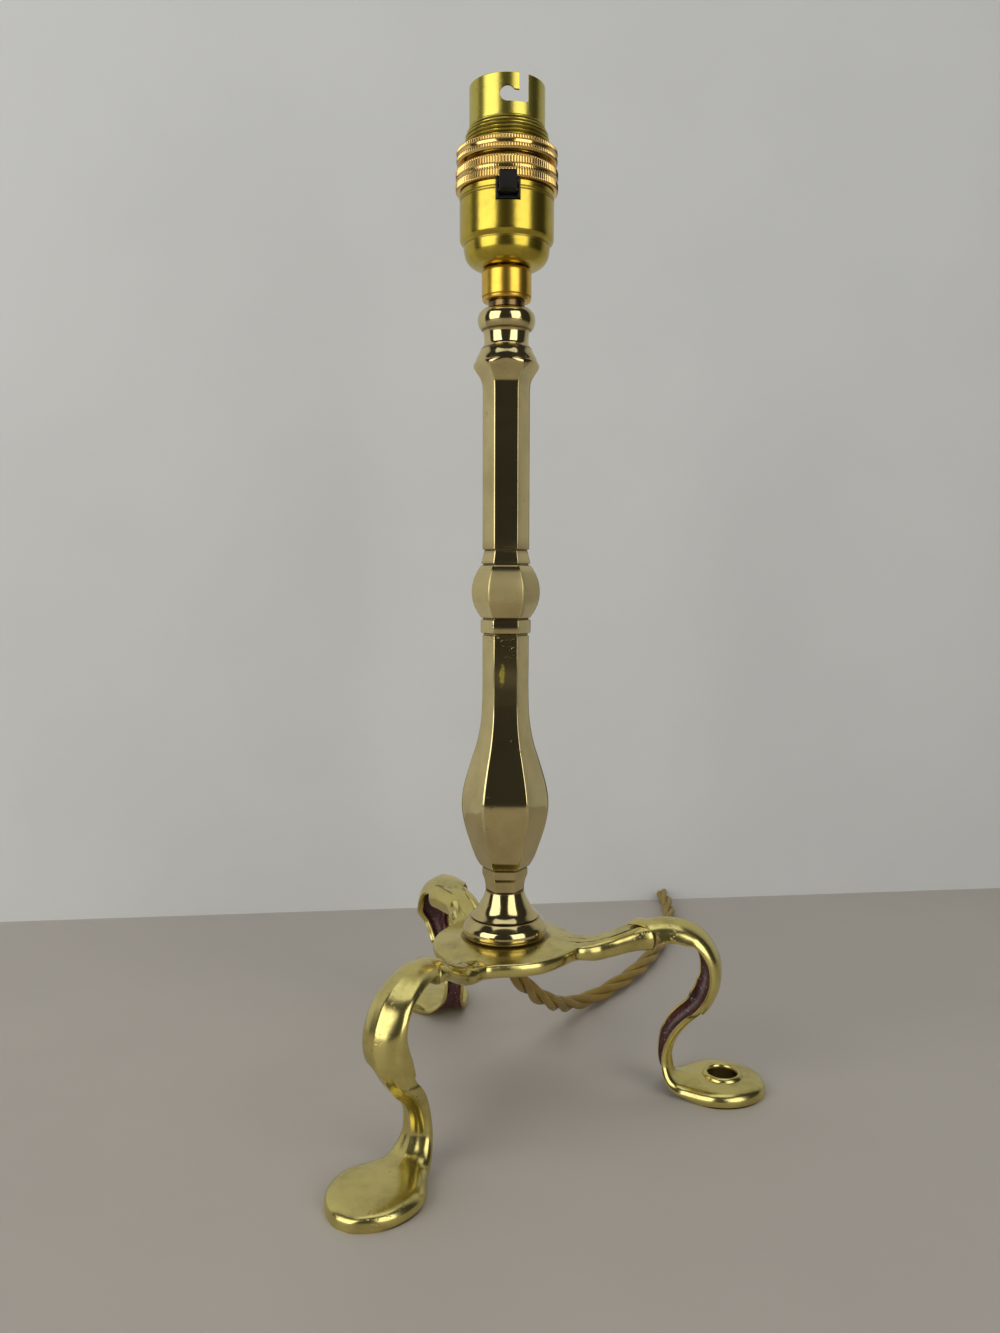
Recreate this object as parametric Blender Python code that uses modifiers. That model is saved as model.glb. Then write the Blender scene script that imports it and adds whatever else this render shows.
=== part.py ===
"""Brass tripod table lamp with a bayonet lampholder, built as separate solids.

Metres, +Z up. The origin lies on the table under the column's axis, and +Y points away from the front.
"""

import math

import bmesh
import bpy
from mathutils import Matrix, Vector

# Clearances
GAP = 0.0003
OVERRUN = 0.002
MERGE = 0.00005

# Column: a casting that is hexagonal where a hex share of 1 says so
COLUMN_FOOT_Z = 0.0574
FOOT_RADIUS = 0.01514
FOOT_HEIGHT = 0.0077
BELL_RADIUS = 0.0121
BELL_HEIGHT = 0.0092
BELL_NECK_RADIUS = 0.0069
LOWER_NECK_RADIUS = 0.00825
LOWER_NECK_HEIGHT = 0.0085
BALUSTER_RADIUS = 0.0158
BALUSTER_HEIGHT = 0.0842
BALUSTER_END_RADIUS = 0.0083
COLLAR_RADIUS = 0.0089
COLLAR_HEIGHT = 0.0056
KNOP_RADIUS = 0.0122
KNOP_HEIGHT = 0.0188
UPPER_COLLAR_HEIGHT = 0.0055
SHAFT_RADIUS = 0.0083
SHAFT_HEIGHT = 0.0553
SHOULDER_RADIUS = 0.01125
SHOULDER_HEIGHT = 0.0145
THROAT_RADIUS = 0.0077
THROAT_HEIGHT = 0.0056
BEAD_RADIUS = 0.01005
BEAD_HEIGHT = 0.0074
TOP_NECK_RADIUS = 0.0063
TOP_NECK_HEIGHT = 0.0020
COLUMN_GROOVE = 0.0006
COLUMN_BORE_RADIUS = 0.0038
SPIGOT_RADIUS = 0.0055
SPIGOT_LENGTH = 0.0044
COLUMN_SIDES = 24
HEX_SIDES = 6

# Base plate: three arms that rise to the legs
PLATE_SEAT_DROP = GAP
PLATE_SEAT_RADIUS = 0.0156
PLATE_HUB_THICKNESS = 0.0041
PLATE_EDGE_THICKNESS = 0.0048
PLATE_VALLEY_RADIUS = 0.0262
PLATE_VALLEY_DROP = 0.0018
PLATE_RIM = 0.0014
ARM_END_RADIUS = 0.0520
ARM_END_RISE = 0.0052
ARM_END_THICKNESS = 0.0082
ARM_NECK_HALF_WIDTH = 0.0058
ARM_END_HALF_WIDTH = 0.0068
LEG_ANGLES = (math.radians(0.6), math.radians(112.5), math.radians(240.9))

# Legs: hollow-backed S shapes that end in flat pads
LEG_TOP_Z = 0.0632
LEG_KNEE_RADIUS = 0.0791
LEG_ANKLE_RADIUS = 0.0616
LEG_HALF_WIDTH = 0.0077
LEG_DEPTH = 0.0066
LEG_WALL = 0.0018
PAD_CENTRE_RADIUS = 0.0790
PAD_HALF_LENGTH = 0.0172
PAD_HALF_WIDTH = 0.0150
PAD_THICKNESS = 0.0058
FOOT_HOLE_RADIUS = 0.0047
FOOT_HOLE_RIM_RADIUS = 0.0068
FOOT_HOLE_OFFSET = 0.0020
HEEL_RISE = 0.0022
FOOT_SPREADS = (0.0, 0.0050, 0.0030)

# Bush in the column's threaded spigot, under the plate
BUSH_LIP_RADIUS = 0.0060
BUSH_LIP_HEIGHT = 0.0009
BUSH_DEPTH = 0.0030
BUSH_WALL = 0.0009

# Entry: coupler, nipple and lock nut
COUPLER_RADIUS = 0.0087
COUPLER_HEIGHT = 0.0108
COUPLER_CHAMFER = 0.0020
COUPLER_GROOVE = 0.0004
NIPPLE_RADIUS = 0.0050
NIPPLE_LENGTH = 0.0252
NIPPLE_DEPTH = 0.0081
ENTRY_NUT_RADIUS = 0.0079
ENTRY_NUT_HEIGHT = 0.0030

# Lampholder cap
CAP_SHOULDER = 0.00075
CAP_HEIGHT = 0.0293
CAP_WALL = 0.0008
CAP_DOME_HEIGHT = 0.0072
CAP_STEP_RADIUS = 0.01485
CAP_STEP_HEIGHT = 0.0020
CAP_FLAT_RADIUS = 0.0089
CAP_THREAD_HEIGHT = 0.0046

# Rings
RING_WALL = 0.00205
RING_HEIGHT = 0.0078
RING_BEVEL = 0.0009
RING_GROOVE = 0.0005
RING_GROOVE_HEIGHT = 0.0015
SHADE_RING_WALL = 0.00298
SHADE_RING_HEIGHT = 0.0045
SHADE_RING_GROOVE_HEIGHT = 0.0015
SHADE_RING_GAP = 0.0013

# Barrel with its two bayonet slots
BARREL_RADIUS = 0.01296
BARREL_WALL = 0.00095
BARREL_PLAIN_HEIGHT = 0.0130
BARREL_THREAD_DEPTH = 0.00136
BARREL_HEIGHT = 0.0303
BARREL_FLANGE_WIDTH = 0.00118
BARREL_FLANGE_HEIGHT = 0.0009
SLOT_WIDTH = 0.00305
SLOT_DEPTH = 0.0092
SLOT_OFFSET = 0.00545
HOOK_RADIUS = 0.00215
HOOK_OFFSET = 0.0001
HOOK_CHANNEL_HEIGHT = 0.0038

# Insulator with the contact plungers
INSULATOR_CLEARANCE = 0.0004
INSULATOR_TOP_HEIGHT = 0.0120
INSULATOR_BODY_HEIGHT = 0.0132
INSULATOR_SKIRT_WALL = 0.0016
PLUNGER_SPACING = 0.0104
PLUNGER_RADIUS = 0.0019
PLUNGER_LENGTH = 0.0137
PLUNGER_STANDS = 0.0060
PLUNGER_BORE_GAP = 0.00035
SPRING_LENGTH = 0.0097
SPRING_WIRE_RADIUS = 0.00022
SPRING_CURLS = 6
SPRING_CURL_POINTS = 8
TERMINAL_WIDTH = 0.0038
TERMINAL_HEIGHT = 0.0040
TERMINAL_SPACING = 0.0120
TERMINAL_SETBACK = 0.0035
TERMINAL_SCREW_RADIUS = 0.0012
TERMINAL_SCREW_LENGTH = 0.0014

# Rocker switch
SWITCH_WIDTH = 0.0077
SWITCH_OFFSET = 0.0003
SWITCH_HEIGHT = 0.0065
SWITCH_PROUD = 0.0007
SWITCH_DEPTH = 0.0066
SWITCH_WALL = 0.0007
ROCKER_WIDTH = 0.0058
ROCKER_PIVOT_SETBACK = 0.0025
ROCKER_PIVOT_HEIGHT = 0.0035
ROCKER_REACH = 0.0068
ROCKER_TOP = 0.0042
ROCKER_BOTTOM = 0.0026
ROCKER_BACK = 0.0034
ROCKER_LOBE = 0.0019
PIVOT_PIN_RADIUS = 0.0006
CONTACT_STRIP_WIDTH = 0.0030
CONTACT_STRIP_HEIGHT = 0.0050
CONTACT_STRIP_THICKNESS = 0.0004
CONTACT_STRIP_SETBACK = 0.0005

# Earth tag inside the cap
EARTH_RING_RADIUS = 0.0084
EARTH_RING_THICKNESS = 0.0006
EARTH_TAB_WIDTH = 0.0040
EARTH_TAB_HEIGHT = 0.0066
EARTH_TAB_THICKNESS = 0.0008
EARTH_TAB_SETBACK = 0.0075
EARTH_SCREW_RADIUS = 0.0010
EARTH_SCREW_HEAD_RADIUS = 0.0018
EARTH_SCREW_LENGTH = 0.0018

# Flex
CORD_RADIUS = 0.0033
CORE_RADIUS = 0.0010
CORD_SPACING = 0.0135
COIL_CENTRE = Vector((0.0500, 0.2900, 0.0))
COIL_MIDDLE_RADIUS = 0.0363
COIL_PITCH = 0.0072
COIL_LAYER_PITCH = 0.0071
COIL_TURNS = 5.25
COIL_LAYERS = 4
LOOP_POINTS = 24
COIL_LIFT = 0.0018
TIE_WIDTH = 0.0060
TIE_THICKNESS = 0.0012
TIE_ANGLE = math.radians(205.0)

# Three-pin plug, lying with its pins up
PLUG_WIDTH = 0.0500
PLUG_LENGTH = 0.0500
PLUG_COVER_HEIGHT = 0.0130
PLUG_BASE_HEIGHT = 0.0075
PLUG_TAPER = 0.0030
PLUG_CENTRE_X = -0.0340
PLUG_ENTRY_Y = 0.2970
PLUG_WALL = 0.0025
PIN_SPACING = 0.0222
PIN_ROW_SPACING = 0.0222
LINE_PIN_SIZE = (0.0063, 0.0040, 0.0177)
EARTH_PIN_SIZE = (0.0040, 0.0080, 0.0227)
PIN_ROOT = 0.0040
PIN_ROW_SETBACK = 0.0140
FUSE_RADIUS = 0.0032
FUSE_LENGTH = 0.0254
PLUG_SCREW_RADIUS = 0.0022
PLUG_SCREW_LENGTH = 0.0140
PLUG_SCREW_OFFSET = 0.0040

# Radii that follow from the sizes above
BARREL_THREAD_RADIUS = BARREL_RADIUS + BARREL_THREAD_DEPTH
BARREL_FLANGE_RADIUS = BARREL_THREAD_RADIUS + BARREL_FLANGE_WIDTH
CAP_THREAD_RADIUS = BARREL_FLANGE_RADIUS
CAP_RADIUS = CAP_THREAD_RADIUS + CAP_SHOULDER
RING_RADIUS = CAP_THREAD_RADIUS + RING_WALL
SHADE_RING_RADIUS = BARREL_THREAD_RADIUS + SHADE_RING_WALL
INSULATOR_RADIUS = CAP_THREAD_RADIUS - CAP_WALL - INSULATOR_CLEARANCE
INSULATOR_TOP_RADIUS = BARREL_RADIUS - BARREL_WALL - INSULATOR_CLEARANCE
SWITCH_FRONT = CAP_RADIUS + SWITCH_PROUD

# Heights that follow from the sizes above
PLATE_TOP_Z = COLUMN_FOOT_Z - PLATE_SEAT_DROP
PLATE_BOTTOM_Z = PLATE_TOP_Z - PLATE_HUB_THICKNESS
COLUMN_TOP_Z = COLUMN_FOOT_Z + (
    FOOT_HEIGHT + BELL_HEIGHT + LOWER_NECK_HEIGHT + BALUSTER_HEIGHT + COLLAR_HEIGHT + KNOP_HEIGHT
    + UPPER_COLLAR_HEIGHT + SHAFT_HEIGHT + SHOULDER_HEIGHT + THROAT_HEIGHT + BEAD_HEIGHT + TOP_NECK_HEIGHT
)
COUPLER_BOTTOM_Z = COLUMN_TOP_Z + GAP
CAP_BOTTOM_Z = COUPLER_BOTTOM_Z + COUPLER_HEIGHT + GAP
CAP_TOP_Z = CAP_BOTTOM_Z + CAP_HEIGHT
CAP_SHOULDER_Z = CAP_TOP_Z - CAP_THREAD_HEIGHT
RING_BOTTOM_Z = CAP_SHOULDER_Z + GAP
RING_TOP_Z = RING_BOTTOM_Z + RING_HEIGHT
SWITCH_BOTTOM_Z = RING_BOTTOM_Z - GAP - SWITCH_HEIGHT
ROCKER_PIVOT_Y = ROCKER_PIVOT_SETBACK - SWITCH_FRONT
ROCKER_PIVOT_Z = SWITCH_BOTTOM_Z + ROCKER_PIVOT_HEIGHT
BARREL_BOTTOM_Z = CAP_TOP_Z + GAP
BARREL_TOP_Z = BARREL_BOTTOM_Z + BARREL_HEIGHT
SHADE_RING_Z = RING_TOP_Z + SHADE_RING_GAP
INSULATOR_TOP_Z = CAP_TOP_Z + INSULATOR_TOP_HEIGHT
CHAMBER_TOP_Z = CAP_TOP_Z - INSULATOR_BODY_HEIGHT
PLUNGER_TOP_Z = INSULATOR_TOP_Z + PLUNGER_STANDS
NIPPLE_BOTTOM_Z = COLUMN_TOP_Z - NIPPLE_DEPTH
SPIGOT_END_Z = COLUMN_FOOT_Z - SPIGOT_LENGTH
CORD_EXIT_Z = SPIGOT_END_Z - GAP - BUSH_LIP_HEIGHT
COIL_BOTTOM_Z = CORD_RADIUS + COIL_LIFT
COIL_REVERSAL_TURNS = COIL_TURNS / COIL_LAYERS
COIL_INNER_RADIUS = COIL_MIDDLE_RADIUS - COIL_PITCH * COIL_REVERSAL_TURNS / 2
COIL_OUTER_RADIUS = COIL_MIDDLE_RADIUS + COIL_PITCH * COIL_REVERSAL_TURNS / 2
COIL_END_Z = COIL_BOTTOM_Z + (COIL_LAYERS - 1) * COIL_LAYER_PITCH

# The flex's free route, from under the plate to the coil's right side, chosen by hand
FREE_ROUTE = (
    (0.0000, 0.0000, 0.0480),
    (0.0026, 0.0032, 0.0421),
    (0.0070, 0.0105, 0.0350),
    (0.0115, 0.0200, 0.0271),
    (0.0161, 0.0280, 0.0214),
    (0.0206, 0.0380, 0.0157),
    (0.0250, 0.0500, 0.0102),
    (0.0300, 0.0600, 0.0066),
    (0.0360, 0.0692, 0.0044),
    (0.0427, 0.0774, 0.0035),
    (0.0504, 0.0877, 0.0034),
    (0.0587, 0.0997, 0.0034),
    (0.0679, 0.1163, 0.0034),
    (0.0767, 0.1368, 0.0034),
    (0.0852, 0.1622, 0.0034),
    (0.0902, 0.1833, 0.0034),
    (0.0928, 0.2043, 0.0034),
    (0.0930, 0.2230, 0.0035),
    (0.0922, 0.2450, 0.0038),
    (0.0912, 0.2680, 0.0048),
)
# The flex's last stretch, from the coil's top to the plug's side, chosen by hand
TAIL_ROUTE = (
    (0.0300, 0.3311, 0.0255),
    (0.0160, 0.3305, 0.0225),
    (0.0030, 0.3275, 0.0180),
    (-0.0110, 0.3225, 0.0140),
    (-0.0230, 0.3160, 0.0112),
)

# Turned pieces have this many sides
BIG_STEPS = 32
SMALL_STEPS = 20


def new_material(name, colour, roughness, metallic):
    """A Principled material with one colour."""
    material = bpy.data.materials.new(name)
    material.use_nodes = True
    shader = material.node_tree.nodes["Principled BSDF"]
    shader.inputs["Base Color"].default_value = (*colour, 1.0)
    shader.inputs["Roughness"].default_value = roughness
    shader.inputs["Metallic"].default_value = metallic
    return material


class Workshop:
    """Holds the collections and the finishes, and hangs each new object in its place."""

    def __init__(self):
        for old in list(bpy.data.objects):
            bpy.data.objects.remove(old, do_unlink=True)
        self.parts = self.collection("tripod_table_lamp")
        self.cutters = self.collection("cutters")
        self.finishes = {
            "cast_brass": ((0.62, 0.52, 0.22), 0.22, 1.0),
            "column_brass": ((0.66, 0.52, 0.30), 0.16, 1.0),
            "holder_brass": ((0.70, 0.55, 0.12), 0.25, 1.0),
            "ring_brass": ((0.78, 0.55, 0.18), 0.28, 1.0),
            "plated_steel": ((0.55, 0.55, 0.55), 0.35, 1.0),
            "black_plastic": ((0.02, 0.02, 0.022), 0.35, 0.0),
            "moulded_insulator": ((0.10, 0.05, 0.03), 0.45, 0.0),
            "gold_braid": ((0.45, 0.33, 0.08), 0.60, 0.0),
            "core_brown": ((0.20, 0.08, 0.03), 0.50, 0.0),
            "core_blue": ((0.03, 0.12, 0.40), 0.50, 0.0),
            "core_green": ((0.20, 0.45, 0.05), 0.50, 0.0),
            "fuse_ceramic": ((0.75, 0.72, 0.66), 0.50, 0.0),
        }

    def collection(self, name):
        made = bpy.data.collections.new(name)
        bpy.context.scene.collection.children.link(made)
        return made

    def hang(self, obj, finish):
        """Puts an object among the parts, with a finish of its own."""
        for home in list(obj.users_collection):
            home.objects.unlink(obj)
        self.parts.objects.link(obj)
        obj.data.materials.clear()
        colour, roughness, metallic = self.finishes[finish]
        obj.data.materials.append(new_material(f"{obj.name}_{finish}", colour, roughness, metallic))
        return obj

    def hang_cutter(self, obj):
        """Puts an object among the cutters, out of sight of a render."""
        for home in list(obj.users_collection):
            home.objects.unlink(obj)
        self.cutters.objects.link(obj)
        obj.hide_render = True
        obj.display_type = "WIRE"
        return obj


def object_from_bmesh(name, bm):
    """Writes a bmesh into a new object with its faces pointing out."""
    bmesh.ops.recalc_face_normals(bm, faces=bm.faces[:])
    mesh = bpy.data.meshes.new(name)
    bm.to_mesh(mesh)
    bm.free()
    mesh.shade_smooth()
    mesh.set_sharp_from_angle(angle=math.radians(35))
    obj = bpy.data.objects.new(name, mesh)
    bpy.context.scene.collection.objects.link(obj)
    return obj


def turned(name, profile, steps=BIG_STEPS):
    """Turns a closed (radius, height) profile about Z, its outer side given from top to bottom."""
    mesh = bpy.data.meshes.new(name)
    points = [(radius, 0.0, height) for radius, height in profile]
    edges = [(n, (n + 1) % len(points)) for n in range(len(points))]
    on_axis = [n for n, (radius, _) in enumerate(profile) if radius == 0]
    if len(on_axis) == 2:
        edges = [edge for edge in edges if set(edge) != set(on_axis)]
    mesh.from_pydata(points, edges, [])
    obj = bpy.data.objects.new(name, mesh)
    bpy.context.scene.collection.objects.link(obj)
    screw = obj.modifiers.new("turn", "SCREW")
    screw.axis = "Z"
    screw.steps = steps
    screw.render_steps = steps
    screw.use_merge_vertices = True
    screw.merge_threshold = MERGE
    screw.use_smooth_shade = True
    return obj


def loft(name, rings, closed=False):
    """Joins rings of equal count in order: capped at both ends, or closed from last to first."""
    bm = bmesh.new()
    rows = [[bm.verts.new(point) for point in ring] for ring in rings]
    count = len(rows[0])
    pairs = list(zip(rows, rows[1:]))
    if closed:
        pairs.append((rows[-1], rows[0]))
    for low, high in pairs:
        for n in range(count):
            after = (n + 1) % count
            bm.faces.new((low[n], low[after], high[after], high[n]))
    if not closed:
        bm.faces.new(reversed(rows[0]))
        bm.faces.new(rows[-1])
    return object_from_bmesh(name, bm)


def box(name, size, centre):
    """A box of a given size about a centre."""
    bm = bmesh.new()
    bmesh.ops.create_cube(bm, size=1.0)
    bmesh.ops.scale(bm, vec=size, verts=bm.verts)
    bmesh.ops.translate(bm, vec=centre, verts=bm.verts)
    return object_from_bmesh(name, bm)


def rod(name, radius, length, centre, axis="Z", sides=SMALL_STEPS):
    """A cylinder of a given length about a centre."""
    turns = {"X": Matrix.Rotation(math.radians(90), 4, "Y"), "Y": Matrix.Rotation(math.radians(90), 4, "X")}
    bm = bmesh.new()
    bmesh.ops.create_cone(
        bm, cap_ends=True, segments=sides, radius1=radius, radius2=radius, depth=length
    )
    bmesh.ops.transform(bm, matrix=turns.get(axis, Matrix.Identity(4)), verts=bm.verts)
    bmesh.ops.translate(bm, vec=centre, verts=bm.verts)
    return object_from_bmesh(name, bm)


def prism(name, outline, width, middle):
    """A (y, z) outline drawn out along X to a width about its middle."""
    half = width / 2
    rings = [[(x + middle, y, z) for y, z in outline] for x in (-half, half)]
    return loft(name, rings)


def hex_tube(name, radius, bore, bottom, top):
    """A hexagonal nut, with flats that face the front and back."""
    ring = [(math.cos(math.radians(60 * n)), math.sin(math.radians(60 * n))) for n in range(HEX_SIDES)]
    nut = loft(name, [[(radius * x, radius * y, z) for x, y in ring] for z in (bottom, top)])
    return nut, rod(f"{name}_bore", bore, top - bottom + OVERRUN, (0, 0, (bottom + top) / 2))


def cut(shop, target, cutter):
    """Cuts one object out of another."""
    shop.hang_cutter(cutter)
    bite = target.modifiers.new(cutter.name, "BOOLEAN")
    bite.operation = "DIFFERENCE"
    bite.object = cutter
    return target


def join(shop, target, addition):
    """Joins one object to another as one body."""
    shop.hang_cutter(addition)
    weld = target.modifiers.new(addition.name, "BOOLEAN")
    weld.operation = "UNION"
    weld.object = addition
    return target


def tube(name, points, radius, resolution):
    """A capped tube along a list of points."""
    curve = bpy.data.curves.new(name, "CURVE")
    curve.dimensions = "3D"
    curve.bevel_depth = radius
    curve.bevel_resolution = resolution
    curve.use_fill_caps = True
    curve.render_resolution_u = 0
    spline = curve.splines.new("POLY")
    spline.points.add(len(points) - 1)
    for slot, point in zip(spline.points, points):
        slot.co = (*point, 1.0)
    obj = bpy.data.objects.new(name, curve)
    bpy.context.scene.collection.objects.link(obj)
    return obj


def smooth_route(points, spacing):
    """Points at an even spacing along the Catmull-Rom curve through a route."""
    knots = [Vector(point) for point in points]
    knots = [knots[0] * 2 - knots[1]] + knots + [knots[-1] * 2 - knots[-2]]
    fine = []
    for a, b, c, d in zip(knots, knots[1:], knots[2:], knots[3:]):
        for step in range(12):
            t = step / 12
            fine.append(
                0.5 * (2 * b + (c - a) * t + (2 * a - 5 * b + 4 * c - d) * t**2
                       + (3 * b - a - 3 * c + d) * t**3)
            )
    fine.append(knots[-2])
    lengths = [0.0]
    for a, b in zip(fine, fine[1:]):
        lengths.append(lengths[-1] + (b - a).length)
    count = max(2, round(lengths[-1] / spacing) + 1)
    even = []
    at = 0
    for n in range(count):
        wanted = lengths[-1] * n / (count - 1)
        while at < len(lengths) - 2 and lengths[at + 1] < wanted:
            at += 1
        span = lengths[at + 1] - lengths[at]
        even.append(fine[at].lerp(fine[at + 1], (wanted - lengths[at]) / span if span else 0))
    return even


def path_length(points):
    """The length of a row of points."""
    return sum((b - a).length for a, b in zip(points, points[1:]))


def hex_point(angle, radius, height, hex_share):
    """A point of a column section, round or six-sided with corners at 0, 60 and so on degrees."""
    within = angle % math.radians(60) - math.radians(30)
    flat = math.cos(math.radians(30)) / math.cos(within)
    reach = radius * (1 - hex_share + hex_share * flat)
    return (reach * math.cos(angle), reach * math.sin(angle), height)


def column_stations():
    """The column's outer side as (radius, height, hex share), from the foot up."""
    groove = COLUMN_GROOVE
    # Each stage: height, rise to the next, outer and inner radius, hex share, shares of height and swelling
    stages = (
        (FOOT_HEIGHT, FOOT_HEIGHT, FOOT_RADIUS, BELL_RADIUS, 0,
         ((0.00, 0.60), (0.06, 0.87), (0.15, 1.00), (0.42, 1.00), (0.61, 0.865), (0.77, 0.50), (0.90, 0.12),
          (0.955, 0.02))),
        (BELL_HEIGHT, BELL_HEIGHT, BELL_RADIUS, BELL_NECK_RADIUS, 0,
         ((0.00, 1.00), (0.20, 0.68), (0.41, 0.44), (0.65, 0.21), (0.87, 0.06), (0.98, 0.01))),
        (LOWER_NECK_HEIGHT, LOWER_NECK_HEIGHT, LOWER_NECK_RADIUS, BELL_NECK_RADIUS, 1,
         ((0.02, 0.12), (0.24, 0.17), (0.47, 0.48), (0.62, 0.88), (0.72, 1.00), (0.95, 1.00))),
        (BALUSTER_HEIGHT, BALUSTER_HEIGHT, BALUSTER_RADIUS, BALUSTER_END_RADIUS, 1,
         ((0.004, 0.07), (0.043, 0.34), (0.103, 0.585), (0.183, 0.86), (0.269, 1.00), (0.355, 0.88),
          (0.456, 0.56), (0.536, 0.27), (0.637, 0.06), (0.758, 0.00), (0.995, 0.00))),
        (COLLAR_HEIGHT, COLLAR_HEIGHT, COLLAR_RADIUS, COLLAR_RADIUS - groove, 1,
         ((0.00, 0.00), (0.10, 1.00), (0.90, 1.00), (0.98, 0.00))),
        (KNOP_HEIGHT, KNOP_HEIGHT, KNOP_RADIUS, COLLAR_RADIUS, 1,
         ((0.02, 0.00), (0.14, 0.44), (0.30, 0.84), (0.50, 1.00), (0.70, 0.84), (0.86, 0.46), (0.97, 0.08))),
        (UPPER_COLLAR_HEIGHT, UPPER_COLLAR_HEIGHT, COLLAR_RADIUS, BALUSTER_END_RADIUS - groove, 1,
         ((0.02, 0.30), (0.10, 0.90), (0.50, 0.45), (0.94, 0.00))),
        (SHAFT_HEIGHT, SHAFT_HEIGHT, SHAFT_RADIUS, SHAFT_RADIUS, 1,
         ((0.00, 0.00), (1.00, 0.00))),
        (SHOULDER_HEIGHT, 0, SHOULDER_RADIUS, SHAFT_RADIUS, 1,
         ((0.18, 0.10), (0.34, 0.50), (0.46, 0.92))),
        (SHOULDER_HEIGHT, SHOULDER_HEIGHT, SHOULDER_RADIUS, THROAT_RADIUS, 0,
         ((0.58, 0.98), (0.74, 0.76), (0.86, 0.50), (0.95, 0.36))),
        (THROAT_HEIGHT, THROAT_HEIGHT, BEAD_RADIUS, THROAT_RADIUS, 0,
         ((0.10, 0.10), (0.40, 0.00), (0.80, 0.08))),
        (BEAD_HEIGHT, BEAD_HEIGHT, BEAD_RADIUS, THROAT_RADIUS, 0,
         ((0.00, 0.34), (0.16, 0.80), (0.44, 1.00), (0.74, 0.82), (0.94, 0.30))),
        (TOP_NECK_HEIGHT, TOP_NECK_HEIGHT, TOP_NECK_RADIUS, TOP_NECK_RADIUS, 0,
         ((0.12, 0.00), (1.00, 0.00))),
    )
    stations = []
    bottom = COLUMN_FOOT_Z
    for height, rise, outer, inner, hex_share, shares in stages:
        for height_share, swell_share in shares:
            radius = inner + (outer - inner) * swell_share
            stations.append((radius, bottom + height * height_share, hex_share))
        bottom += rise
    return stations


def build_column(shop):
    """One casting, bored through, with a spigot below and a socket for the nipple above."""
    angles = [math.tau * n / COLUMN_SIDES for n in range(COLUMN_SIDES)]
    outer = [(SPIGOT_RADIUS, SPIGOT_END_Z, 0), (SPIGOT_RADIUS, COLUMN_FOOT_Z, 0)]
    outer += column_stations()
    socket = NIPPLE_RADIUS + GAP
    inner = [
        (socket, COLUMN_TOP_Z, 0),
        (socket, NIPPLE_BOTTOM_Z - GAP, 0),
        (COLUMN_BORE_RADIUS, NIPPLE_BOTTOM_Z - GAP, 0),
        (COLUMN_BORE_RADIUS, SPIGOT_END_Z + BUSH_DEPTH + GAP, 0),
        (COLUMN_BORE_RADIUS + BUSH_WALL, SPIGOT_END_Z + BUSH_DEPTH + GAP, 0),
        (COLUMN_BORE_RADIUS + BUSH_WALL, SPIGOT_END_Z, 0),
    ]
    rings = [[hex_point(a, radius, z, share) for a in angles] for radius, z, share in outer + inner]
    shop.hang(loft("column", rings, closed=True), "column_brass")


def spread(x, points):
    """Reads a broken line of (x, y) points at x."""
    if x <= points[0][0]:
        return points[0][1]
    for (x0, y0), (x1, y1) in zip(points, points[1:]):
        if x <= x1:
            return y0 + (y1 - y0) * (x - x0) / (x1 - x0)
    return points[-1][1]


def arm_outline():
    """Half of one arm's plan along +X, from the flat end back to the valley between two arms."""
    reach = ARM_END_RADIUS - PLATE_VALLEY_RADIUS
    widen = ARM_END_HALF_WIDTH - ARM_NECK_HALF_WIDTH
    along_shares = (1.00, 0.84, 0.68, 0.52, 0.36, 0.22)
    width_shares = (1.00, 0.85, 0.45, 0.05, 0.00, 0.12)
    points = [
        Vector((PLATE_VALLEY_RADIUS + reach * along, ARM_NECK_HALF_WIDTH + widen * width))
        for along, width in zip(along_shares, width_shares)
    ]
    turn_shares = ((1.07, 16.0), (1.01, 24.0), (0.995, 34.0), (0.995, 46.0))
    for reach_share, degrees in turn_shares:
        angle = math.radians(degrees)
        points.append(Vector((math.cos(angle), math.sin(angle))) * PLATE_VALLEY_RADIUS * reach_share)
    return points


def plate_outline():
    """The whole plan of the plate, anticlockwise, with each valley midway between two arms."""
    half = arm_outline()
    mirrored = [Vector((p.x, -p.y)) for p in reversed(half)]
    points = []
    for arm, angle in enumerate(LEG_ANGLES):
        turn = Matrix.Rotation(angle, 2)
        following = LEG_ANGLES[(arm + 1) % len(LEG_ANGLES)]
        following += math.tau if following < angle else 0
        middle = (angle + following) / 2
        points += [turn @ p for p in mirrored + half]
        points.append(Vector((math.cos(middle), math.sin(middle))) * PLATE_VALLEY_RADIUS)
    return points


def plate_top(radius):
    """The height of the plate's upper side at a distance from the axis."""
    valley = PLATE_TOP_Z - PLATE_VALLEY_DROP
    rise = ARM_END_RISE + PLATE_VALLEY_DROP
    reach = ARM_END_RADIUS - PLATE_VALLEY_RADIUS
    rise_shares = ((0.00, 0.00), (0.20, 0.02), (0.35, 0.10), (0.54, 0.36), (0.73, 0.69), (1.00, 1.00))
    line = [(PLATE_SEAT_RADIUS, PLATE_TOP_Z)]
    line += [(PLATE_VALLEY_RADIUS + reach * along, valley + rise * up) for along, up in rise_shares]
    return spread(radius, line)


def plate_thickness(radius):
    """The plate's thickness at a distance from the axis."""
    line = (
        (PLATE_SEAT_RADIUS, PLATE_HUB_THICKNESS),
        (PLATE_VALLEY_RADIUS, PLATE_EDGE_THICKNESS),
        (ARM_END_RADIUS, ARM_END_THICKNESS),
    )
    return spread(radius, line)


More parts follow.
